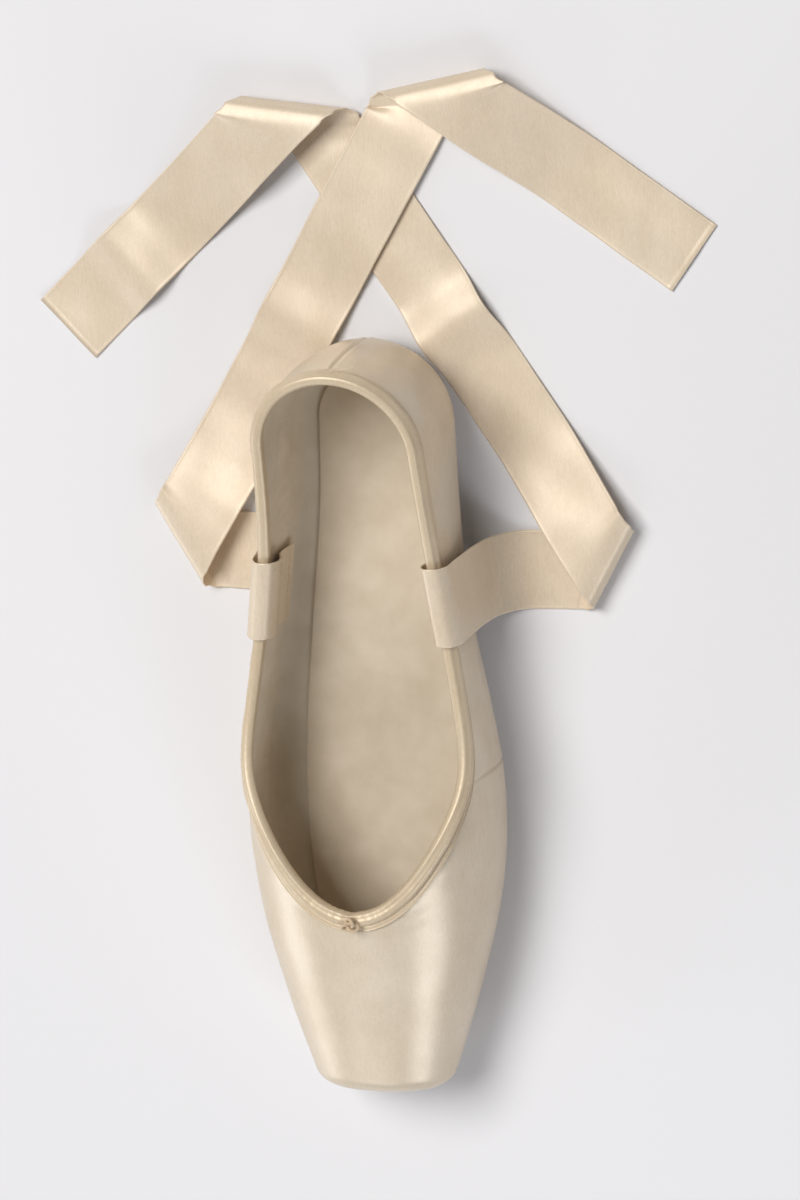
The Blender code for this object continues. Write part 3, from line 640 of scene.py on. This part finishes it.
def make_ribbon(name, route):
    points, along, across = through(route, 8)
    face = np.cross(along, across)
    skew = np.linalg.norm(face, axis=1, keepdims=True)
    share, half = ribbon_profile()
    middle = points[:, None] + (across / skew * RIBBON_WIDTH / 2)[:, None] * share[None, :, None]
    x, y = middle[..., 0], middle[..., 1]
    ripple = np.sin(x * 260 + y * 120) * np.sin(y * 170 - x * 75)
    middle[..., 2] += RIBBON_RIPPLE * ripple * step_of(0.012 - middle[..., 2], 0, 0.006)
    middle[..., 2] = np.maximum(middle[..., 2], 0.0005)
    thick = (face / skew)[:, None] * half[None, :, None]
    ring = np.concatenate((middle + thick, (middle - thick)[:, ::-1]), axis=1)
    count, size = ring.shape[:2]
    vertices = ring.reshape(-1, 3)
    faces = grid_faces(count, size, wrap_columns=True)
    caps = []
    for row in (0, count - 1):
        for j in range(len(share) - 1):
            near, far = row * size + j, row * size + size - 1 - j
            cap = (near, near + 1, far - 1, far)
            caps.append(cap if row else cap[::-1])
    faces = outward(vertices, np.vstack((faces, np.array(caps))))
    thing = add_piece(name + "_satin", vertices, faces, ribbon_satin, name)


make_ribbon("ribbon_right", RIBBON_RIGHT)
make_ribbon("ribbon_left", RIBBON_LEFT)


# Upper
def tight(start, stop, count, first):
    """Places from start to stop that begin close together."""
    share = np.linspace(0, 1, count + 1)[1:]
    return start + (stop - start) * (first * share + (1 - first) * share ** 2)


SEAM_PLACE = 0.104
SEAM_WIDTH = 0.0005
SEAM_GROOVE = 0.00034
SEAM_RIDGE = 0.00018
BACK_GROOVE = 0.00042
BACK_RIDGE = 0.00022


def fine_places(detail):
    edge = PLATFORM_EDGE * (1 - np.sin(np.linspace(math.pi / 2, 0, 7)))
    toe = np.arange(PLATFORM_EDGE + 0.0008, OPENING_START, 0.0009 * detail)
    under = tight(OPENING_START, OPENING_START + 0.010, 9, 0.04)
    vamp = np.arange(OPENING_START + 0.0112, VAMP_LENGTH - 0.0006, 0.0012 * detail)
    throat = np.concatenate(([VAMP_LENGTH], tight(VAMP_LENGTH, VAMP_LENGTH + 0.016, 18, 0.03)))
    rest = np.arange(VAMP_LENGTH + 0.0176, HEEL_CENTRE, 0.0017 * detail)
    seam = SEAM_PLACE + SEAM_WIDTH * np.array((-3.2, -2, -1, -0.5, 0, 0.5, 1, 2, 3.2))
    rest = rest[np.abs(rest - SEAM_PLACE) > 4.2 * SEAM_WIDTH]
    heel = np.linspace(HEEL_CENTRE, LAST_END - 0.003, 26)
    back = LAST_END - np.array((0.0022, 0.0015, 0.0010, 0.0006, 0.0003, 0.0))
    return np.unique(np.concatenate((edge, toe, under, vamp, throat, rest, seam, heel, back)).round(8))


def side_grid(places, steps):
    """Reach, height and distance from the collar of points spread evenly up one side of each section."""
    half_width, low, widest, crown, below, above, collar = section(places)
    first = np.arcsin(np.clip((opening_half(places) / half_width) ** (below / 2), 0, 1))
    last = np.arccos(np.clip((collar / half_width) ** (above / 2), 0, 1))
    dense = np.linspace(0, 1, 500)
    reaches, heights, depths = [], [], []
    for i in range(len(places)):
        lower = first[i] + (math.pi / 2 - first[i]) * dense ** 2
        upper = last[i] * (1 - (1 - dense[1:]) ** 2)
        reach = half_width[i] * np.concatenate((
            np.sin(lower) ** (2 / below[i]), np.maximum(np.cos(upper), 0) ** (2 / above[i])))
        height = widest[i] + np.concatenate((
            -(widest[i] - low[i]) * np.maximum(np.cos(lower), 0) ** (2 / below[i]),
            (crown[i] - widest[i]) * np.sin(upper) ** (2 / above[i])))
        way = np.concatenate(([0], np.cumsum(np.hypot(np.diff(reach), np.diff(height)))))
        at = np.linspace(0, way[-1], steps + 1)
        reaches.append(np.interp(at, way, reach))
        heights.append(np.interp(at, way, height))
        depths.append(way[-1] - at)
    return np.array(reaches), np.array(heights), np.array(depths)


class Last:
    """Welded surface of the last between the collar and the opening underneath, with what its folds need."""

    def __init__(self, detail, steps, cap_rows):
        places = fine_places(detail)
        reach, height, depth = side_grid(places, steps)
        shrink = np.linspace(0, 1, cap_rows, endpoint=False)[:, None]
        widest = widest_height(0.0)
        place = np.concatenate((np.zeros(cap_rows), places))[:, None] + np.zeros(steps + 1)
        reach = np.vstack((shrink * reach[0], reach))
        height = np.vstack((widest + shrink * (height[0] - widest), height))
        depth = np.vstack((np.repeat(depth[:1], cap_rows, 0), depth))
        grids, faces, sides = [], [], []
        for side in (1, -1):
            grid = locate(place, reach, height, side)
            grid[-1, :, 0] = 0.0
            quads = grid_faces(*place.shape) + len(grids) * place.size
            grids.append(grid.reshape(-1, 3))
            faces.append(quads if side == 1 else quads[:, ::-1])
            sides.append(np.full(place.size, side))
        points = np.vstack(grids)
        first, self.faces = weld(points, np.vstack(faces))
        self.points = points[first]
        both = [np.tile(value.reshape(-1), 2)[first] for value in (place, depth, reach)]
        self.place, self.depth, self.reach = both
        self.side = np.concatenate(sides)[first]
        self.normal = point_normals(self.points, self.faces)


# Creases, listed one by one: side, then place as a share of the length and height as a share of the instep
# at each end, depth and half width in millimetres
CREASES = (
    (1, 0.262, 0.985, 0.292, 0.905, 0.14, 1.7),
    (1, 0.246, 0.990, 0.276, 0.880, 0.10, 2.2),
    (-1, 0.258, 0.985, 0.280, 0.930, 0.10, 1.8),
    (1, 0.300, 0.880, 0.345, 0.700, 0.20, 2.0),
    (-1, 0.305, 0.870, 0.360, 0.660, 0.22, 2.2),
    (1, 0.430, 0.680, 0.465, 0.330, 0.30, 3.0),
    (-1, 0.425, 0.690, 0.470, 0.350, 0.26, 3.2),
    (1, 0.520, 0.640, 0.560, 0.280, 0.42, 3.6),
    (-1, 0.530, 0.620, 0.555, 0.260, 0.40, 3.4),
    (1, 0.610, 0.640, 0.640, 0.260, 0.36, 3.6),
    (-1, 0.620, 0.660, 0.660, 0.240, 0.40, 3.8),
    (1, 0.700, 0.640, 0.735, 0.200, 0.30, 3.4),
    (-1, 0.710, 0.600, 0.745, 0.220, 0.28, 3.4),
    (1, 0.540, 0.300, 0.680, 0.210, 0.34, 3.0),
    (-1, 0.550, 0.290, 0.690, 0.200, 0.30, 3.2),
    (1, 0.850, 0.300, 0.930, 0.190, 0.18, 2.6),
    (-1, 0.860, 0.340, 0.925, 0.180, 0.20, 2.4),
)


def surface_point(side, place, height):
    """Point of the last at a place and height, on one side."""
    half_width, low, widest, crown, below, above, _ = (float(v) for v in section(place))
    height = min(height, crown - 1e-5)
    if height < widest:
        reach = half_width * (1 - ((widest - height) / (widest - low)) ** below) ** (1 / below)
    else:
        reach = half_width * (1 - ((height - widest) / (crown - widest)) ** above) ** (1 / above)
    return locate(place, reach, height, side)


def crease_field(points):
    total = np.zeros(len(points))
    for side, place_a, height_a, place_b, height_b, depth, width in CREASES:
        stops = np.linspace(0, 1, 9)
        line = np.array([
            surface_point(side, (place_a + (place_b - place_a) * s) * LENGTH,
                          (height_a + (height_b - height_a) * s) * INSTEP_HEIGHT) for s in stops
        ])
        best = np.full(len(points), 1e9)
        share = np.zeros(len(points))
        for k in range(len(line) - 1):
            run = line[k + 1] - line[k]
            u = np.clip(((points - line[k]) @ run) / (run @ run), 0, 1)
            distance = np.linalg.norm(points - line[k] - u[:, None] * run, axis=1)
            nearer = distance < best
            best = np.where(nearer, distance, best)
            share = np.where(nearer, (k + u) / (len(line) - 1), share)
        width *= 0.001
        body = bump_of(best, width) - 0.45 * bump_of(best - 1.9 * width, 0.8 * width)
        fade = np.minimum(step_of(share, -0.1, 0.3), step_of(1 - share, -0.1, 0.45))
        total -= 0.001 * depth * body * fade
    return total


PLEAT_FAN = 2.4 * OUTSOLE_TIP_RADIUS
PLEAT_TURNS = 19
PLEAT_DEPTH = 0.00105
PLEAT_REACH = 0.0115
THROAT_GATHER = 0.00022
SIDE_GATHER = 0.00017


def pleat_field(last):
    """Pleats of the satin that fan out round the outsole's tip."""
    x = last.points[:, 0]
    y = OUTSOLE_START + PLEAT_FAN - LENGTH / 2 - last.points[:, 1]
    angle = np.arctan2(x, y)
    half = np.maximum(outsole_half(last.place), 1e-4)
    beyond = np.where(last.place < OUTSOLE_START, np.hypot(x, y) - PLEAT_FAN, last.reach - half)
    below = step_of(-last.normal[:, 2], 0.25, 0.75)
    turns = PLEAT_TURNS * angle + 0.5 * np.sin(3.1 * angle + 0.6) + 0.35 * np.sin(7.3 * angle)
    fold = 0.5 + 0.5 * np.cos(turns) + 0.30 * np.cos(2 * turns + 0.9)
    reach_out = PLEAT_REACH + 0.0025 * np.sin(11 * angle + 1.0)
    out = step_of(beyond, -0.0005, 0.0010) * (1 - step_of(beyond, 0.0025, reach_out))
    front = 1 - step_of(last.place, 0.046, 0.064)
    return PLEAT_DEPTH * fold * out * below * front


def puckers(last):
    """Small gathers of the satin where the casing draws it in, strongest at the throat."""
    along = last.place
    near = np.exp(-np.maximum(last.depth - 0.55 * CASING_DEPTH, 0) / 0.0042)
    close = np.exp(-np.maximum(along - VAMP_LENGTH, 0) / 0.020)
    angle = np.arctan2(last.points[:, 0], VAMP_LENGTH + 0.012 - LENGTH / 2 - last.points[:, 1])
    fan = np.sin(26 * angle + 1.4 * np.sin(5 * angle)) + 0.5 * np.sin(43 * angle + 0.8)
    ahead = np.exp(-np.maximum(VAMP_LENGTH - along, 0) / 0.0040)
    ahead *= step_of(along, VAMP_LENGTH - 0.016, VAMP_LENGTH - 0.004)
    throat = THROAT_GATHER * fan * near * close * ahead
    rows = np.sin(along * 1150 + 1.2 * np.sin(along * 240 + last.side))
    rows += 0.6 * np.sin(along * 1990 + 2 * last.side)
    sides = SIDE_GATHER * rows * near * step_of(along, VAMP_LENGTH + 0.012, VAMP_LENGTH + 0.03)
    return throat + sides


def seam_field(last):
    """Side and back seams, each a groove between two soft ridges."""
    side = last.place - SEAM_PLACE
    ridges = sum(bump_of(side - shift * SEAM_WIDTH, 1.4 * SEAM_WIDTH) for shift in (2.4, -2.4))
    back = LAST_END - last.place
    back_seam = BACK_RIDGE * bump_of(back - 0.0014, 0.0008) - BACK_GROOVE * bump_of(back, SEAM_WIDTH)
    return SEAM_RIDGE * ridges - SEAM_GROOVE * bump_of(side, SEAM_WIDTH) + back_seam


last = Last(1.0, 92, 16)
satin_field = crease_field(last.points) + pleat_field(last) + puckers(last) + seam_field(last)
satin_field += 0.00011 * cloud(last.points, 0.016, 1) + 0.00005 * cloud(last.points, 0.0065, 2)
SATIN = 0.0008
front = last.points + satin_field[:, None] * last.normal
back = last.points - SATIN * last.normal
vertices, faces = shell(front, back, last.faces)
add_piece("upper_satin", vertices, faces, upper_satin, "upper")

inner = Last(1.6, 56, 8)
depth_in = edge_wall(inner.place, inner.depth)
lining_field = 0.00016 * cloud(inner.points, 0.011, 5) + 0.00007 * cloud(inner.points, 0.004, 6)
front = inner.points - (SATIN + 0.0001) * inner.normal
back = inner.points - (depth_in + np.minimum(lining_field, 0.0001))[:, None] * inner.normal
vertices, faces = shell(front, back, inner.faces)
add_piece("upper_lining", vertices, faces, lining_cloth)


# Casing of the drawstring
def collar_frames(places):
    half_width, _, widest, crown, _, above, collar = section(places)
    height = widest + (crown - widest) * (1 - (collar / half_width) ** above) ** (1 / above)
    right = locate(places, collar, height, 1)
    left = locate(places, collar, height, -1)
    right[-1, 0] = 0.0
    loop = np.vstack((right, left[-2:0:-1]))
    ways = unit(np.roll(loop, -1, axis=0) - np.roll(loop, 1, axis=0))
    outwards = normal_at(loop)
    return loop, outwards, unit(np.cross(ways, outwards))


collar_places = np.concatenate((
    [VAMP_LENGTH], tight(VAMP_LENGTH, VAMP_LENGTH + 0.016, 34, 0.02),
    np.linspace(VAMP_LENGTH + 0.0166, HEEL_CENTRE, 190), np.linspace(HEEL_CENTRE, LAST_END, 60)[1:],
))
loop, loop_out, loop_down = collar_frames(collar_places)
loop_way = way_along(loop)
loop_length = loop_way[-1] + np.linalg.norm(loop[0] - loop[-1])
from_knot = np.where(loop_way < loop_length / 2, loop_way, loop_way - loop_length)

# Outer half of the casing: share of its depth below the edge, height off the wall as a share of the swell
CASING_OUTER = (
    (1.00, 0.00), (1.005, 0.20), (1.00, 0.40), (0.985, 0.50), (0.955, 0.52), (0.92, 0.44), (0.89, 0.36),
    (0.85, 0.34), (0.80, 0.35), (0.76, 0.36), (0.72, 0.33), (0.69, 0.24), (0.665, 0.18), (0.64, 0.22),
    (0.62, 0.32), (0.60, 0.44), (0.57, 0.62), (0.53, 0.82), (0.47, 1.03), (0.40, 1.19), (0.32, 1.26),
    (0.24, 1.22), (0.16, 1.08), (0.09, 0.88), (0.02, 0.62),
)
CASING_INNER = (
    (0.03, 0.70), (0.12, 0.86), (0.24, 0.92), (0.36, 0.86), (0.46, 0.70), (0.54, 0.46), (0.60, 0.26),
    (0.66, 0.20), (0.74, 0.30), (0.84, 0.34), (0.93, 0.34), (0.985, 0.24), (1.00, 0.05),
)
STITCH_SHARE = 0.665
RUCK = 0.00009


def below_edge(share):
    """Points of the surface at a share of the casing's depth below the collar's edge."""
    return on_surface(loop + share * CASING_DEPTH * loop_down, loop_out)


def casing_points():
    ring_place = unlocate(loop)[0]
    thickness = edge_wall(ring_place, 0)[:, None]
    pinch = 1 - 0.42 * bump_of(from_knot + 0.0006, 0.0016)
    gather = np.sin(from_knot * 2900 + 1.1 * np.sin(from_knot * 700)) + 0.5 * np.sin(from_knot * 4700 + 1)
    ruck = RUCK * gather * (0.35 + np.exp(-np.abs(from_knot) / 0.02))
    slow = 0.00006 * np.sin(from_knot * 330) + 0.00005 * np.sin(from_knot * 610 + 2)
    columns = []
    for share, height in CASING_OUTER:
        base = below_edge(share)
        roll = float(step_of(STITCH_SHARE - share, 0, 0.10))
        rise = height * CASING_SWELL * (1 - roll * (1 - pinch)) + roll * (ruck + slow)
        if share > 0.70:
            rise = rise + 0.35 * ruck
        columns.append(base + (0.12 * FACET_GAP + rise)[:, None] * normal_at(base))
    middle = loop - 0.5 * thickness * loop_out
    for turn in np.linspace(0.16, 0.84, 7) * math.pi:
        up = (0.35 * FACET_GAP + 0.95 * CASING_SWELL * math.sin(turn)) * pinch
        reach = (0.5 * thickness[:, 0] + 0.85 * CASING_SWELL) * math.cos(turn)
        columns.append(middle - (up + 0.5 * ruck)[:, None] * loop_down + reach[:, None] * loop_out)
    for share, height in CASING_INNER:
        base = below_edge(share)
        drop = edge_wall(ring_place, share * CASING_DEPTH) + 0.2 * FACET_GAP
        drop = drop + 0.8 * height * CASING_SWELL + 0.4 * ruck
        columns.append(base - drop[:, None] * normal_at(base))
    for share in (0.9, 0.5, 0.1):
        base = below_edge(share)
        columns.append(base - 0.5 * thickness * normal_at(base))
    return np.stack(columns, axis=1)


casing = casing_points()
add_ring("casing", casing, casing_satin, "binding")


# Threads: small capsules, and longer tubes
def tube(path, radius, sides, closed=False):
    """Rings round a path. The radius has a value for each point, or for each point and angle."""
    if closed:
        way = unit(np.roll(path, -1, axis=0) - np.roll(path, 1, axis=0))
    else:
        way = unit(np.gradient(path, axis=0))
    lead = np.where(np.abs(way[:, 2:3]) > 0.9, np.array((1.0, 0, 0)), np.array((0, 0, 1.0)))
    first = unit(np.cross(way, lead))
    second = np.cross(first, way)
    turns = np.linspace(0, 2 * math.pi, sides, endpoint=False)[:, None]
    spokes = np.cos(turns) * first[:, None] + np.sin(turns) * second[:, None]
    return path[:, None] + radius.reshape(len(path), -1, 1) * spokes


THREAD_SIDES = 6


def capped_tube(path, radius):
    rings = tube(path, radius, THREAD_SIDES)
    count, sides = rings.shape[:2]
    faces = grid_faces(count, sides, wrap_columns=True)
    points = np.vstack((rings.reshape(-1, 3), rings[0].mean(0)[None], rings[-1].mean(0)[None]))
    ends = []
    for j in range(0, sides, 2):
        ends.append((count * sides, (j + 2) % sides, j + 1, j))
        low = (count - 1) * sides
        ends.append((count * sides + 1, low + j, low + j + 1, low + (j + 2) % sides))
    return points, outward(points, np.vstack((faces, np.array(ends))))


def add_threads(name, paths, radius, material):
    """One piece of threads that grow thinner towards both ends."""
    all_points, all_faces, start = [], [], 0
    for path in paths:
        shape = np.sin(np.linspace(0.12, 0.88, len(path)) * math.pi) ** 0.35
        points, faces = capped_tube(np.array(path), radius * shape)
        all_points.append(points)
        all_faces.append(faces + start)
        start += len(points)
    add_piece(name, np.vstack(all_points), np.vstack(all_faces), material)


def casing_line(way, share, height):
    """Point on the casing's outer face at a way round from the knot."""
    at = np.interp(np.mod(way, loop_length), np.append(loop_way, loop_length), np.arange(len(loop) + 1))
    low = int(at) % len(loop)
    u = at - int(at)
    column = int(np.argmin([abs(share - row[0]) for row in CASING_OUTER]))
    base = casing[low, column] * (1 - u) + casing[(low + 1) % len(loop), column] * u
    out = loop_out[low] * (1 - u) + loop_out[(low + 1) % len(loop)] * u
    return base + height * out


STITCH_STEP = 0.0021
STITCH_LENGTH = 0.00155
STITCH_RADIUS = 0.00013
STITCH_ARC = 0.00008
STITCH_POINTS = np.linspace(0, 1, 6)
stitches = []
for k in range(2, int(loop_length / STITCH_STEP) - 2):
    stitches.append([
        casing_line(k * STITCH_STEP + STITCH_LENGTH * s, STITCH_SHARE, STITCH_ARC * math.sin(math.pi * s))
        for s in STITCH_POINTS
    ])
add_threads("casing_stitches", stitches, STITCH_RADIUS, thread_cotton)

# Two rows of stitches across each ribbon's inner end, which hold it to the quarter
HOLD_STEP = 0.0026
HOLD_LENGTH = 0.0019
HOLD_ARC = 0.00012
HOLD_PLACES = (2, 6)
holding = []
for route in (RIBBON_RIGHT, RIBBON_LEFT):
    points, along, across = through(route, 8)
    inward = unit(np.cross(along, across))
    inward *= -np.sign(inward[:, :1] * points[:, :1])
    for at in HOLD_PLACES:
        for k in range(-4, 5):
            holding.append([
                points[at] + (HOLD_STEP * k + HOLD_LENGTH * (s - 0.5)) * across[at]
                + (RIBBON_BODY / 2 + HOLD_ARC * math.sin(math.pi * s)) * inward[at] for s in STITCH_POINTS
            ])
add_threads("ribbon_stitches", holding, STITCH_RADIUS, thread_cotton)

# Knot of the drawstring: a cord of three strands along a trefoil curve
knot_centre = loop[0] + 0.25 * CASING_DEPTH * loop_down[0]
knot_centre = knot_centre + (1.15 * CASING_SWELL + GAP + KNOT_DEPTH / 2 + KNOT_CORD / 2) * loop_out[0]
turn = np.linspace(0, 2 * math.pi, 260, endpoint=False)
knot_path = (
    knot_centre
    + (KNOT_WIDTH / 6 * (np.sin(turn) + 2 * np.sin(2 * turn)))[:, None] * np.array((1.0, 0, 0))
    + (KNOT_HEIGHT / 6 * (np.cos(turn) - 2 * np.cos(2 * turn)))[:, None] * loop_down[0]
    - (KNOT_DEPTH / 2 * np.sin(3 * turn))[:, None] * loop_out[0]
)
KNOT_SIDES = 16
round_it = np.linspace(0, 2 * math.pi, KNOT_SIDES, endpoint=False)
twist = KNOT_CORD / 2 * (1 + 0.13 * np.cos(3 * round_it[None, :] + 32 * turn[:, None]))
knot = tube(knot_path, twist, KNOT_SIDES, True)
add_ring("drawstring_knot_cord", knot, cord_cotton, "drawstring_knot")


# Outsole and insole
SLAB_EDGE = 0.0050
SKIVE = 0.0007
CHANNEL_DEPTH = 0.00045
CHANNEL_INSET = 0.0029


def layer_profile(edge):
    """Rows from the middle of the top, over the round edge, to the middle of the bottom. Each has an inset
    from the edge, or 1 plus a share of the way out, and a height as a share of the thickness."""
    out = np.linspace(0.02, 1, 14)
    rows = [(1 + s, 1.0) for s in out]
    rows += [(inset, 1.0) for inset in (0.0044, 0.0036, 0.0028, 0.0020)]
    rows += [(edge * (1 - math.sin(t)), 0.5 + 0.5 * math.cos(t)) for t in np.linspace(0, math.pi, 9)]
    rows += [(inset, 0.0) for inset in (0.0016, 0.0022, 0.0026, 0.0029, 0.0032, 0.0036, 0.0040, 0.0046)]
    return rows + [(1 + s, 0.0) for s in out[::-1]]


def slab(name, start, tip, half, bottom, thickness, edge, material, replaced, shape):
    """Layer with its plan from half(place) and its lower face at bottom(place)."""
    places = np.concatenate((
        start + np.array((0.0, 0.00001, 0.00004)), tight(start + 0.0001, start + 1.3 * tip, 16, 0.05),
        np.linspace(start + 1.3 * tip + 0.001, HEEL_CENTRE, 120), np.linspace(HEEL_CENTRE, LAST_END, 41)[1:],
    ))
    reach = half(places)
    low = bottom(places)
    rings = []
    for side in (1, -1):
        columns = []
        slim = np.minimum(1, reach / (2.2 * SLAB_EDGE))
        for inset, height in layer_profile(edge):
            out = reach - inset * slim if inset < 1 else (reach - SLAB_EDGE * slim) * (inset - 1)
            points = locate(places, out, low + height * thickness, side)
            points[-1, 0] = 0.0
            columns.append(points)
        rings.append(np.stack(columns, axis=1))
    ring = np.concatenate((rings[0], rings[1][:, ::-1]), axis=1)
    ring = shape(ring)
    points = ring.reshape(-1, 3)
    first, faces = weld(points, grid_faces(*ring.shape[:2], wrap_columns=True))
    points = points[first]
    add_piece(name, points, outward(points, faces), material, replaced)


def sole_shape(ring):
    """Skived edge and stitched channel of the outsole, which leave its flats alone, and slight wear that
    lifts the whole underside a little.
    """
    flat = ring.reshape(-1, 3)
    place, reach, height = unlocate(flat)
    edge = np.maximum(outsole_half(place) - reach, 0)
    under = height < lift(place) + 0.3 * OUTSOLE_THICKNESS
    skive = SKIVE * (1 - step_of(edge, 0, 0.0052)) * under
    channel = CHANNEL_DEPTH * bump_of(edge - CHANNEL_INSET, 0.00045) * under
    channel *= step_of(place, OUTSOLE_START + 0.004, OUTSOLE_START + 0.012)
    wear = 0.00008 * (1 + cloud(flat, 0.009, 11)) * under
    moved = flat.copy()
    moved[:, 2] += skive + channel + wear
    return moved.reshape(ring.shape)


def sock_shape(ring):
    flat = ring.reshape(-1, 3).copy()
    flat[:, 2] += 0.00012 * cloud(flat, 0.010, 12)
    return flat.reshape(ring.shape)


def insole_bottom(place):
    half_width, low, widest, _, below, _, _ = section(place)
    thickness = wall(place)
    share = insole_half(place) / (half_width - thickness)
    return widest - (widest - low - thickness) * (1 - share ** below) ** (1 / below) + GAP


slab("sole", OUTSOLE_START, OUTSOLE_TIP_RADIUS, outsole_half, lift, OUTSOLE_THICKNESS, 0.0008,
     sole_leather, "outsole", sole_shape)
slab("sock", INSOLE_START, INSOLE_TIP_RADIUS, insole_half, insole_bottom, INSOLE_THICKNESS, 0.0004,
     sock_cloth, "insole", sock_shape)

# Frayed threads at the top of the heel: start round from the back, lean, length, curl and height of the arc
FRAYS = (
    (0.0012, 0.55, 0.0046, 0.9, 0.40), (0.0036, 0.95, 0.0058, -0.8, 0.25),
    (-0.0020, -0.25, 0.0036, 0.8, 0.45),
)
FRAY_RADIUS = 0.00008
frays = []
for start, lean, length, curl, arc in FRAYS:
    foot = casing_line(loop_length / 2 - start, 0.16, -0.0002)
    path = []
    for s in np.linspace(0, 1, 14):
        across, back = lean * s + 0.20 * curl * math.sin(3.4 * s), 0.55 * s + 0.10 * math.sin(5 * s)
        path.append(foot + length * np.array((across, back, arc * math.sin(2.4 * s))))
    frays.append(path)
add_threads("heel_frays", frays, FRAY_RADIUS, thread_cotton)

# Floor and light
bpy.ops.mesh.primitive_plane_add(size=40)
floor = bpy.context.object
floor.name = "floor"
floor_paint = Paint("pale_floor", 0.75, Specular_IOR_Level=0.2)
floor_shade = floor_paint.noise(3, 3, 3, 2.0)
floor_paint.colours(floor_paint.mixed(floor_shade, colour(232, 230, 231), colour(234, 232, 233)))
floor.data.materials.append(floor_paint.material)

world = bpy.data.worlds.new("studio")
bpy.context.scene.world = world
world.use_nodes = True
world.node_tree.nodes["Background"].inputs["Color"].default_value = (0.97, 0.98, 1.0, 1)
world.node_tree.nodes["Background"].inputs["Strength"].default_value = 0.18


def add_light(name, place, aim, width, height, power, tint=(1, 1, 1)):
    data = bpy.data.lights.new(name, "AREA")
    data.shape = "RECTANGLE"
    data.size, data.size_y = width, height
    data.energy = power
    data.color = tint
    lamp = bpy.data.objects.new(name, data)
    lamp.location = place
    lamp.rotation_euler = (Vector(aim) - Vector(place)).to_track_quat("-Z", "Y").to_euler()
    bpy.context.scene.collection.objects.link(lamp)


add_light("overhead", (-0.75, 1.0, 2.35), (0, 0, 0.02), 1.3, 1.4, 57, (1.0, 0.995, 0.98))
add_light("key", (-1.9, -1.10, 0.38), (0, 0, 0.02), 1.3, 0.7, 10.5, (0.93, 0.98, 1.06))
add_light("front", (-0.30, -1.35, 0.95), (0, -0.05, 0.03), 0.9, 0.5, 2.3, (0.96, 0.99, 1.03))
add_light("right_band", (0.79, -1.03, 0.72), (0, -0.05, 0.03), 0.60, 0.6, 5.3, (0.93, 0.98, 1.06))

bpy.context.scene.view_settings.view_transform = "Standard"
